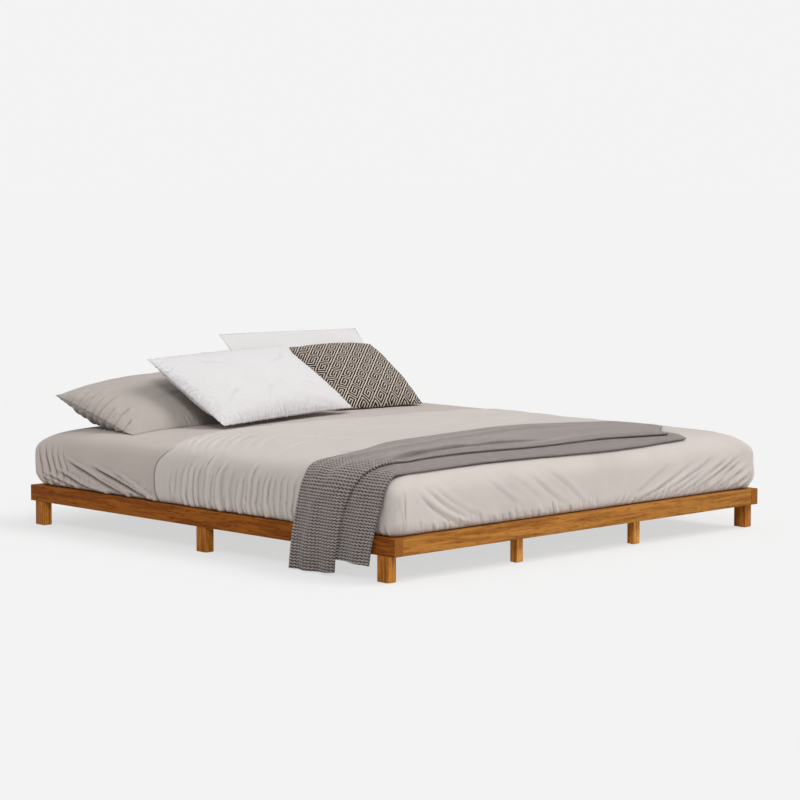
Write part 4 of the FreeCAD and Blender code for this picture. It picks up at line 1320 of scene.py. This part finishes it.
    rim(ia[0, :], ib[0, :], 2, True)
    rim(ia[-1, :], ib[-1, :], 2, False)
    rim(ia[:, 0], ib[:, 0], 4, False)
    rim(ia[:, -1], ib[:, -1], 4, True)
    ob = new_mesh("knitted_throw", verts, faces, uv)
    # the painted shadow of the fold is stored per point for the knit's colour
    at = ob.data.attributes.new("painted_shading", "FLOAT", "POINT")
    at.data.foreach_set("value", np.r_[shade.ravel(), np.zeros(nb_ * mb)].astype(np.float32))
    ob.data.materials.append(THROW_MAT)
    area = 0.70 * float((q[-1] - q[0]).mean())
    return ob, area, float(q.max())


def knit(name):
    m = Mat(name)
    uv = m.uv()
    xyz = m.node("ShaderNodeSeparateXYZ")
    wob = m.node("ShaderNodeVectorMath", operation="MULTIPLY_ADD")
    m.link(m.noise(uv, 90.0, 2.0, 0.5, 0.0, "Color"), wob.inputs[0])
    wob.inputs[1].default_value = (0.0034, 0.0024, 0.0)
    m.link(uv, wob.inputs[2])
    m.link(wob.outputs[0], xyz.inputs[0])
    # rows that zigzag where one stitch hooks into the next
    turn = m.math("MULTIPLY", xyz.outputs["X"], 2 * math.pi / STITCH)
    row = m.math("ADD", m.math("MULTIPLY", xyz.outputs["Y"], 1.0 / ROW), m.math("MULTIPLY", m.math("COSINE", turn), ZIG))
    ridge = m.math("ABSOLUTE", m.math("SINE", m.math("MULTIPLY", row, math.pi)))
    dash = m.math("MULTIPLY_ADD", m.math("SINE", turn), 0.5, 0.5)
    stitch = m.math("MULTIPLY", m.math("POWER", ridge, 1.1), m.math("MULTIPLY_ADD", dash, 0.30, 0.70))
    ply = m.wave(m.mapping(uv, rot=(0, 0, 0.6)), 150.0, "X", 1.5, 2.0, 3.0)
    hair = m.noise(uv, 900.0, 3.0, 0.6)
    big = m.noise(uv, 7.0, 3.0, 0.5)
    # painted shade: the low gaps between the stitch rows are coloured near black, the raised stitches light
    lite, dark = srgb(170, 158, 153), srgb(26, 21, 20)
    col = m.mix(m.range(stitch, 0.24, 0.80, 0.0, 1.0, True), dark, lite)
    col = m.mix(m.range(ply, 0.2, 0.8, 0.15, 0.0), col, srgb(112, 104, 101))
    col = m.mix(m.range(big, 0.35, 0.65, 0.0, 0.12), col, srgb(134, 126, 122))
    fleck = m.noise(m.mapping(uv, scale=(34, 60, 1)), 1.0, 2.0, 0.6)
    col = m.mix(m.range(fleck, 0.35, 0.65, 0.30, 0.0), col, srgb(70, 62, 60))
    # painted shadow of the throw's fold, darkening the colour
    shade_paint = m.node("ShaderNodeAttribute")
    shade_paint.attribute_name = "painted_shading"
    col = m.mix(m.range(shade_paint.outputs["Fac"], 0.0, 1.0, 0.0, 0.85), col, srgb(44, 38, 36))
    m.set(Base_Color=col, Roughness=m.range(hair, 0.2, 0.8, 0.85, 1.0))
    m.bsdf.inputs["Sheen Weight"].default_value = 0.35
    m.bsdf.inputs["Sheen Roughness"].default_value = 0.5
    m.bsdf.inputs["Specular IOR Level"].default_value = 0.2
    h = m.math("ADD", stitch, m.math("MULTIPLY", hair, 0.12))
    m.set(Normal=m.bump(h, 0.85, 0.0030))
    return m.m


THROW_MAT = knit("throw_knit")


def tree_of(obs):
    vs, fs = [], []
    for o in obs:
        b = len(vs)
        vs += [v.co.copy() for v in o.data.vertices]
        fs += [[b + i for i in p.vertices] for p in o.data.polygons]
    return BVHTree.FromPolygons(vs, fs)


BED_TREE = tree_of([SHEET_OB, COVER_OB])
THROW_OB, _area, _len = make_throw()
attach(THROW_OB, "throw")
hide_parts("throw_blanket")
print("throw length", _len, "area", _area)


# ---------------------------------------------------------------------- pillows
def V3(*a):
    return np.array(a, float)


PILLOWS = {
    # centre, width vector, height vector, thickness (mm)
    "grey_left": (V3(-455.5, 808.3, 462.0), V3(864, 29, 16), V3(-5, 472, 122), 168.0),
    "grey_right": (V3(452.0, 875.0, 444.0), V3(850, 0, 0), V3(0, 420, 50), 170.0),
    "back": (V3(399.0, 916.5, 564.5), V3(808, 20, -20), V3(-7, 297, 297), 130.0),
    "cushion": (V3(523.7, 771.0, 524.1), V3(443, -43.6, -3), V3(39, 371, 238), 140.0),
    "white": (V3(-196.9, 621.3, 543.6), V3(832.4, 142, 6), V3(-74.6, 358, 244), 150.0),
}
_wn = np.cross(PILLOWS["white"][1], PILLOWS["white"][2])
_wn /= np.linalg.norm(_wn)
_ncb = V3(0, -0.629, 0.777)
_pgb = V3(0, 768, 410) - V3(0, -0.7071, 0.7071) * 65.0
_ngb = V3(0, -0.7071, 0.7071)
_up = V3(0, 0, 1)
BEDP = (V3(0, 0, 403.0), _up)
PLANES = {
    "grey_left": [BEDP, (PILLOWS["white"][0] - _wn * 62.0, -_wn), (V3(-10, 0, 0), V3(-1, 0, 0))],
    "grey_right": [BEDP, (_pgb, -_ngb), (V3(-10, 0, 0), V3(1, 0, 0))],
    "back": [BEDP, (_pgb, _ngb), (V3(0, 830, 530), -_ncb), (V3(-10, 0, 0), V3(1, 0, 0))],
    "cushion": [BEDP, (V3(0, 830, 530), _ncb), (V3(268, 0, 0), V3(1, 0, 0))],
    "white": [BEDP, (V3(0, 830, 530), _ncb), (PILLOWS["white"][0] - _wn * 62.0, _wn), (V3(268, 0, 0), V3(-1, 0, 0))],
}


def pillow_grid(w, h, nx, ny):
    """Two layers of cloth sewn together at their border."""
    u, v = np.meshgrid(np.linspace(-1, 1, nx + 1), np.linspace(-1, 1, ny + 1), indexing="ij")
    nfront = (nx + 1) * (ny + 1)
    inner = np.zeros((nx + 1, ny + 1), bool)
    inner[1:-1, 1:-1] = True
    back_id = np.arange(nfront).reshape(nx + 1, ny + 1).copy()
    back_id[inner] = nfront + np.arange(inner.sum())
    front = np.arange(nfront).reshape(nx + 1, ny + 1)
    co = np.concatenate([np.stack([u * w / 2, v * h / 2, 0 * u], -1).reshape(-1, 3),
                         np.stack([u[inner] * w / 2, v[inner] * h / 2, 0 * u[inner]], -1)])
    uvp = np.concatenate([np.stack([u, v], -1).reshape(-1, 2), np.stack([u[inner], v[inner]], -1)])
    sign = np.concatenate([np.where(inner, 1.0, 0.0).ravel(), -np.ones(inner.sum())])
    faces = []
    for g, flip in ((front, False), (back_id, True)):
        q = np.stack([g[:-1, :-1], g[1:, :-1], g[1:, 1:], g[:-1, 1:]], -1).reshape(-1, 4)
        faces += (q[:, ::-1] if flip else q).tolist()
    return co, faces, uvp, sign


def finer(co, nx, ny, mx, my):
    """The same pillow on a finer grid."""
    k = (nx + 1) * (ny + 1)
    front = co[:k].reshape(nx + 1, ny + 1, 3)
    back = front.copy()
    back[1:-1, 1:-1] = co[k:].reshape(nx - 1, ny - 1, 3)
    out = []
    for G in (front, back):
        a = catmull(np.linspace(-1, 1, nx + 1), G.reshape(nx + 1, -1), np.linspace(-1, 1, mx + 1)).reshape(mx + 1, ny + 1, 3)
        b = catmull(np.linspace(-1, 1, ny + 1), a.transpose(1, 0, 2).reshape(ny + 1, -1), np.linspace(-1, 1, my + 1))
        out.append(b.reshape(my + 1, mx + 1, 3).transpose(1, 0, 2))
    return np.concatenate([out[0].reshape(-1, 3), out[1][1:-1, 1:-1].reshape(-1, 3)])


def inflate(w, h, nx, ny, seed, th, loose=1.05, pressure=6.0, frames=13, bow=0.02):
    """A filled pillow: its seam has its place, and the case, cut a little
    larger, wrinkles over the filling."""
    co, faces, uvp, sign = pillow_grid(w, h, nx, ny)
    u, v = uvp[:, 0], uvp[:, 1]
    flat = co.copy() * loose
    flat[:, 2] = sign * 0.002
    co[:, 0] *= 1 - bow * (1 - v**2)
    co[:, 1] *= 1 - bow * 1.3 * (1 - u**2)
    bulge = np.maximum((1 - np.abs(u) ** 2.4) * (1 - np.abs(v) ** 2.4), 0) ** 0.55
    co[:, 2] = sign * th / 2 * bulge
    jit = 0.004 * np.minimum(1, bulge * 3)
    co[:, 2] += jit * noise3(co[:, 0] * 19, co[:, 1] * 19, sign * 3, seed)
    ob = new_mesh("inflate", co, faces)
    ob.shape_key_add(name="Basis")
    cut = ob.shape_key_add(name="cut")
    cut.data.foreach_set("co", flat.astype(np.float32).ravel())
    cut.value = 0.0
    pin = ob.vertex_groups.new(name="seam")
    pin.add([int(i) for i in np.where(sign == 0)[0]], 1.0, "REPLACE")
    m = ob.modifiers.new("cloth", "CLOTH")
    st = m.settings
    st.quality = 5
    st.mass = 0.22
    st.air_damping = 4.0
    st.tension_stiffness = 70
    st.compression_stiffness = 70
    st.shear_stiffness = 20
    st.bending_stiffness = 0.08
    st.tension_damping = 20
    st.compression_damping = 20
    st.shear_damping = 20
    st.bending_damping = 1.0
    st.vertex_group_mass = "seam"
    st.pin_stiffness = 1.0
    st.rest_shape_key = cut
    st.use_pressure = True
    st.uniform_pressure_force = pressure
    st.effector_weights.gravity = 0.0
    m.collision_settings.use_collision = False
    m.point_cache.frame_start = 1
    m.point_cache.frame_end = frames
    for f in range(1, frames + 1):
        scene.frame_set(f)
    dg = bpy.context.evaluated_depsgraph_get()
    got = np.zeros(len(co) * 3, np.float32)
    ob.evaluated_get(dg).data.vertices.foreach_get("co", got)
    got = got.reshape(-1, 3).astype(float)
    moved = got - co
    far = np.linalg.norm(moved, axis=1)
    print("pillow", seed, "moved", round(float(far.mean()), 4), round(float(far.max()), 4))
    got = co + moved * np.minimum(1.0, 0.05 / np.maximum(far, 1e-9))[:, None]
    bpy.data.objects.remove(ob)
    scene.frame_set(1)
    return got, faces, uvp, sign


def soft_clip(d, k):
    """max(d, 0), rounded over a width k."""
    return np.where(d > k, d, np.where(d < -k, 0, (d + k) ** 2 / (4 * k)))


def place(name, key, nx, ny, mat, seed, body, nodes, pressure=6.0, sag=0.2, extra=None, fat=1.0, frames=13, loose=1.05,
          bow=0.02, dense=2.0, nudge=None, under=0.0, flat_low=0.0):
    c, e, t, th = PILLOWS[key]
    w, h = np.linalg.norm(e) / 1000, np.linalg.norm(t) / 1000
    co, faces, uvp, sign = inflate(w, h, nx, ny, seed, th / 1000, loose, pressure, frames, bow)
    mx, my = int(nx * dense), int(ny * dense)
    co = finer(co, nx, ny, mx, my)
    _, faces, uvp, sign = pillow_grid(w, h, mx, my)
    nx, ny = mx, my
    # corners to their places, fullness to its measure
    n1 = ny + 1
    ids = [0, nx * n1, nx * n1 + ny, ny]
    C = co[ids]
    mid = C.mean(0)
    co = co - mid
    sx = w / (abs(C[1, 0] - C[0, 0]) + abs(C[2, 0] - C[3, 0])) * 2
    sy = h / (abs(C[3, 1] - C[0, 1]) + abs(C[2, 1] - C[1, 1])) * 2
    co[:, 0] *= sx * 1.008
    co[:, 1] *= sy * 1.008
    full = np.percentile(co[:, 2], 99.7) - np.percentile(co[:, 2], 0.3)
    co[:, 2] *= th / 1000 * fat / full
    u, v = uvp[:, 0], uvp[:, 1]
    co[:, 2] *= 1 - sag * v * 0.5
    # the back lies flat where the pillow stands on the bed
    co[:, 2] *= np.where(sign < 0, 1 - flat_low * (1 - sstep(-1.0, -0.35, v)), 1.0)
    d = np.zeros(len(co))
    if extra is not None:
        d = extra(u, v, co, sign, w, h)
        me0 = new_mesh("tmp", co, faces)
        no = normals(me0.data)
        bpy.data.objects.remove(me0)
        co = co + no * d[:, None]
    E, T = e / np.linalg.norm(e), t / np.linalg.norm(t)
    N = np.cross(E, T)
    N /= np.linalg.norm(N)
    T = np.cross(N, E)
    P = c / 1000 + co[:, :1] * E + co[:, 1:2] * T + co[:, 2:] * N
    for p, n in PLANES[key]:
        n = n / np.linalg.norm(n)
        g = (P - p / 1000) @ n - 0.0012
        P = P + (soft_clip(g, 0.010) - g)[:, None] * n
    for (su, sv), way in (nudge or {}).items():
        P = P + (((1 + su * u) / 2) ** 1.5 * ((1 + sv * v) / 2) ** 1.5)[:, None] * np.array(way)
    uv = np.stack([(u + 1) / 2 * w, (v + 1) / 2 * h], 1)
    ob = new_mesh(name, P, faces)
    me = ob.data
    layer = me.uv_layers.new(name="cloth")
    idx = np.zeros(len(me.loops), np.int32)
    me.loops.foreach_get("vertex_index", idx)
    off = np.zeros((len(me.loops), 2))
    off[len(me.loops) // 2:, 0] = 1.0
    layer.uv.foreach_set("vector", (uv[idx] + off).astype(np.float32).ravel())
    got = me
    co2 = coords(got)
    # nothing goes into the bed
    for i in np.where(co2[:, 2] < 0.425)[0]:
        h_ = BED_TREE.ray_cast(Vector((co2[i, 0], co2[i, 1], 0.6)), Vector((0, 0, -1)))
        if h_[0] is not None and co2[i, 2] < h_[0][2] + 0.0008:
            co2[i, 2] = h_[0][2] + 0.0008
    set_coords(got, co2)
    shade_paint = paint_fold_shading(ob, 210.0, 30.0)
    # painted shade in the creases, and a shift of -0.20 that lightens the rest as painted light; with under, a painted
    # dark seam line and painted shade on the underside below the overhang
    X, Y = (1 - np.abs(u)) * w / 2, (1 - np.abs(v)) * h / 2
    near = np.minimum(X, Y)
    shade_paint = shade_paint - 0.20 + 0.16 * np.clip(-d / 0.003, -0.5, 2.2)
    if under > 0:
        shade_paint = np.maximum(shade_paint, np.where(sign == 0, 0.5, 0.0))
        shade_paint = np.maximum(shade_paint, np.where(sign < 0, under * sstep(0.0, 0.012, near), 0.0))
    shade_paint = np.clip(shade_paint, -0.35, 1.0)
    got.attributes["painted_shading"].data.foreach_set("value", shade_paint.astype(np.float32))
    got.polygons.foreach_set("use_smooth", np.ones(len(got.polygons), bool))
    ob.data.materials.clear()
    ob.data.materials.append(mat)
    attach(ob, body)
    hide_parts(*nodes)
    return ob


def seam_gathers(u, v, w, h, sides, depth, seed, reach=0.05, n=26):
    """Short gathers that run in from the seams; sides lists u- u+ v- v+."""
    rr = np.random.RandomState(seed)
    X, Y = (u + 1) / 2 * w, (v + 1) / 2 * h
    d = np.zeros_like(u)
    for side, k in sides.items():
        L = h if side[0] == "u" else w
        a, b = (Y, X if side == "u-" else w - X) if side[0] == "u" else (X, Y if side == "v-" else h - Y)
        m = int(n * L / 0.5)
        for i in range(m):
            q = L * (i + 0.5 + rr.uniform(-0.4, 0.4)) / m
            lean = rr.uniform(-0.024, 0.024)
            ln = reach * rr.uniform(0.35, 1.25)
            d += crease(a, b, [(q, 0.0), (q + lean * 0.4, ln * 0.5), (q + lean, ln)], rr.uniform(0.0034, 0.0055) * rr.choice([-1, 1]),
                        depth * k * rr.uniform(0.3, 1.0), ridge=0.6, taper=0.55, blunt=(True, False))
    return d


def grey_extra(u, v, co, sign, w, h):
    front = sign >= 0
    X, Y = (u + 1) / 2 * w, (v + 1) / 2 * h
    d = seam_gathers(u, v, w, h, {"u-": 1.0, "u+": 0.7, "v-": 0.5, "v+": 0.5}, 0.0030, 61)
    for q, ln, lean, dep in ((0.070, 0.060, 0.02, .009), (0.125, 0.105, 0.030, .0125), (0.180, 0.060, 0.012, .010), (0.225, 0.115, 0.026, .0130),
                             (0.262, 0.070, 0.02, .011), (0.305, 0.125, 0.034, .0135), (0.350, 0.060, 0.012, .010), (0.395, 0.080, 0.012, .009)):
        d += crease(Y, X, [(q, 0.0), (q + lean * 0.4, ln * 0.5), (q + lean, ln)], 0.0072, dep, ridge=0.9, taper=0.4, blunt=(True, False))
    d += 0.0028 * noise3(X * 9, Y * 9, sign * 4.0, 62) * (1 - u**4) * (1 - v**4)
    # long diagonal slack across the face
    for ln, wd, dep in (([(0.10, 0.36), (0.28, 0.27), (0.46, 0.24)], 0.013, .0030), ([(0.14, 0.12), (0.30, 0.16), (0.48, 0.15)], 0.012, .0028),
                        ([(0.40, 0.42), (0.52, 0.30), (0.66, 0.22)], 0.014, .0030), ([(0.45, 0.03), (0.55, 0.09), (0.72, 0.11)], 0.012, .0028)):
        d += crease(X, Y, ln, wd, dep, taper=0.45) * front
    return d


def white_extra(u, v, co, sign, w, h):
    X, Y = (u + 1) / 2 * w, (v + 1) / 2 * h
    d = seam_gathers(u, v, w, h, {"u-": 1.0, "u+": 0.9, "v-": 1.0, "v+": 0.8}, 0.0024, 71, 0.050, 26)
    edge = 1 - (1 - u**6) * (1 - v**6)
    rn = np.abs(fbm(X * 26, Y * 26, sign * 5.0, 72, 3)) - 0.2
    d += -0.0040 * rn * (0.22 + 0.9 * np.clip(edge, 0, 0.8))
    d += 0.0032 * noise3(X * 8, Y * 8, sign * 4.0, 73) * (1 - u**4) * (1 - v**4)
    for ln, wd, dep in (([(0.06, 0.40), (0.20, 0.33), (0.34, 0.30)], 0.010, .0034), ([(0.05, 0.05), (0.15, 0.12), (0.27, 0.15)], 0.010, .0036),
                        ([(0.74, 0.38), (0.64, 0.30), (0.52, 0.27)], 0.011, .0034), ([(0.78, 0.05), (0.66, 0.12), (0.55, 0.15)], 0.010, .0034),
                        ([(0.30, 0.02), (0.36, 0.10), (0.45, 0.14)], 0.010, .0026)):
        d += crease(X, Y, ln, wd, dep, taper=0.45)
    return d


def back_extra(u, v, co, sign, w, h):
    X, Y = (u + 1) / 2 * w, (v + 1) / 2 * h
    d = seam_gathers(u, v, w, h, {"u-": 0.8, "u+": 0.8, "v-": 0.6, "v+": 0.6}, 0.0028, 81)
    return d + 0.0030 * noise3(X * 8, Y * 8, sign * 4.0, 83) * (1 - u**4) * (1 - v**4)


def cushion_extra(u, v, co, sign, w, h):
    X, Y = (u + 1) / 2 * w, (v + 1) / 2 * h
    d = seam_gathers(u, v, w, h, {"u-": 0.6, "u+": 0.6, "v-": 0.5, "v+": 0.5}, 0.0022, 91, 0.035)
    return d + 0.0020 * noise3(X * 9, Y * 9, sign * 4.0, 93) * (1 - u**4) * (1 - v**4)


def key_pattern(name):
    """Diagonal bands of a running key fret between plain stripes."""
    m = Mat(name)
    uv = m.uv()
    wob = m.node("ShaderNodeVectorMath", operation="MULTIPLY_ADD")
    m.link(m.noise(uv, 45.0, 3.0, 0.5, 0.0, "Color"), wob.inputs[0])
    wob.inputs[1].default_value = (0.0030, 0.0030, 0.0)
    m.link(uv, wob.inputs[2])
    cell = 0.0536 / 10.0
    rot = m.mapping(wob.outputs[0], rot=(0, 0, math.radians(-45)))
    sc = m.mapping(rot, scale=(1 / cell, 1 / cell, 1))
    sep = m.node("ShaderNodeSeparateXYZ")
    m.link(sc, sep.inputs[0])
    # across the bands: Y, along them: X
    band = m.math("FLOOR", m.math("DIVIDE", sep.outputs["Y"], 10.0))
    c = m.math("FLOORED_MODULO", sep.outputs["Y"], 10.0)
    along = m.math("ADD", sep.outputs["X"], m.math("MULTIPLY", m.math("FLOORED_MODULO", band, 2.0), 5.0))
    r = m.math("FLOORED_MODULO", along, 11.0)

    def inside(v, a, b):
        return m.math("COMPARE", v, (a + b) / 2, (b - a) / 2 - 0.12)

    def rect(c0, c1, r0, r1):
        return m.math("MULTIPLY", inside(c, c0, c1), inside(r, r0, r1))

    parts = [inside(c, 0, 1.2), rect(2, 10, 0, 1), rect(2, 3, 0, 10), rect(2, 9, 9, 10), rect(8, 9, 2, 10), rect(4, 9, 2, 3), rect(4, 5, 2, 8),
             rect(4, 7, 7, 8), rect(6, 7, 4, 8)]
    lines = parts[0]
    for p in parts[1:]:
        lines = m.math("MAXIMUM", lines, p)
    fray = m.noise(uv, 700.0, 2.0, 0.6)
    lines = m.math("MULTIPLY", lines, m.range(fray, 0.30, 0.48, 0.72, 1.0, True))
    co = uv
    k = 55.0
    wa = m.wave(co, k, "X")
    wb = m.wave(co, k, "Y")
    weft = m.math("MULTIPLY", wa, wb)
    dark, lite = srgb(20, 13, 9), srgb(200, 186, 173)
    col = m.mix(lines, dark, lite)
    col = m.mix(m.range(weft, 0.0, 0.5, 0.10, 0.0), col, srgb(44, 34, 28))
    big = m.noise(uv, 8.0, 3.0, 0.5)
    col = m.mix(m.range(big, 0.4, 0.7, 0.0, 0.06), col, srgb(128, 112, 98))
    m.set(Base_Color=col, Roughness=m.range(fray, 0.2, 0.8, 0.85, 1.0))
    m.bsdf.inputs["Sheen Weight"].default_value = 0.06
    m.bsdf.inputs["Specular IOR Level"].default_value = 0.25
    h = m.math("ADD", m.math("MULTIPLY", lines, 0.8), m.math("MULTIPLY", weft, 0.5))
    m.set(Normal=m.bump(h, 0.6, 0.0014))
    return m.m


KEY = key_pattern("cushion_weave")
# under paints shade on the underside by the seam, and a dark seam line
place("pillow_grey_left", "grey_left", 92, 52, GREY, 1, "grey_left", ("grey_pillow_left_case", "grey_pillow_left_insert"), extra=grey_extra, sag=-0.35, dense=3.0, under=0.50, fat=1.24, nudge={(-1, -1): (0.004, 0.0, -0.014)})
place("pillow_grey_right", "grey_right", 48, 26, GREY, 2, "grey_right", ("grey_pillow_right_case", "grey_pillow_right_insert"), sag=0.0)
place("pillow_back", "back", 72, 38, OFFWHITE, 3, "back_pillow", ("back_pillow_case", "back_pillow_insert"), extra=back_extra, sag=0.2, dense=2.5, bow=0.01)
place("cushion_patterned", "cushion", 58, 58, KEY, 4, "cushion", ("patterned_cushion_case", "patterned_cushion_insert"), extra=cushion_extra, sag=0.15, bow=-0.02, dense=2.5)
place("pillow_white", "white", 100, 56, WHITE, 5, "white_pillow", ("white_pillow_case", "white_pillow_insert"), extra=white_extra, sag=0.25, flat_low=0.8, dense=2.8, bow=0.01, nudge={(-1, 1): (-0.018, 0.0, 0.003), (-1, -1): (0.014, 0.0, -0.002), (1, -1): (0.004, 0.0, 0.000)})

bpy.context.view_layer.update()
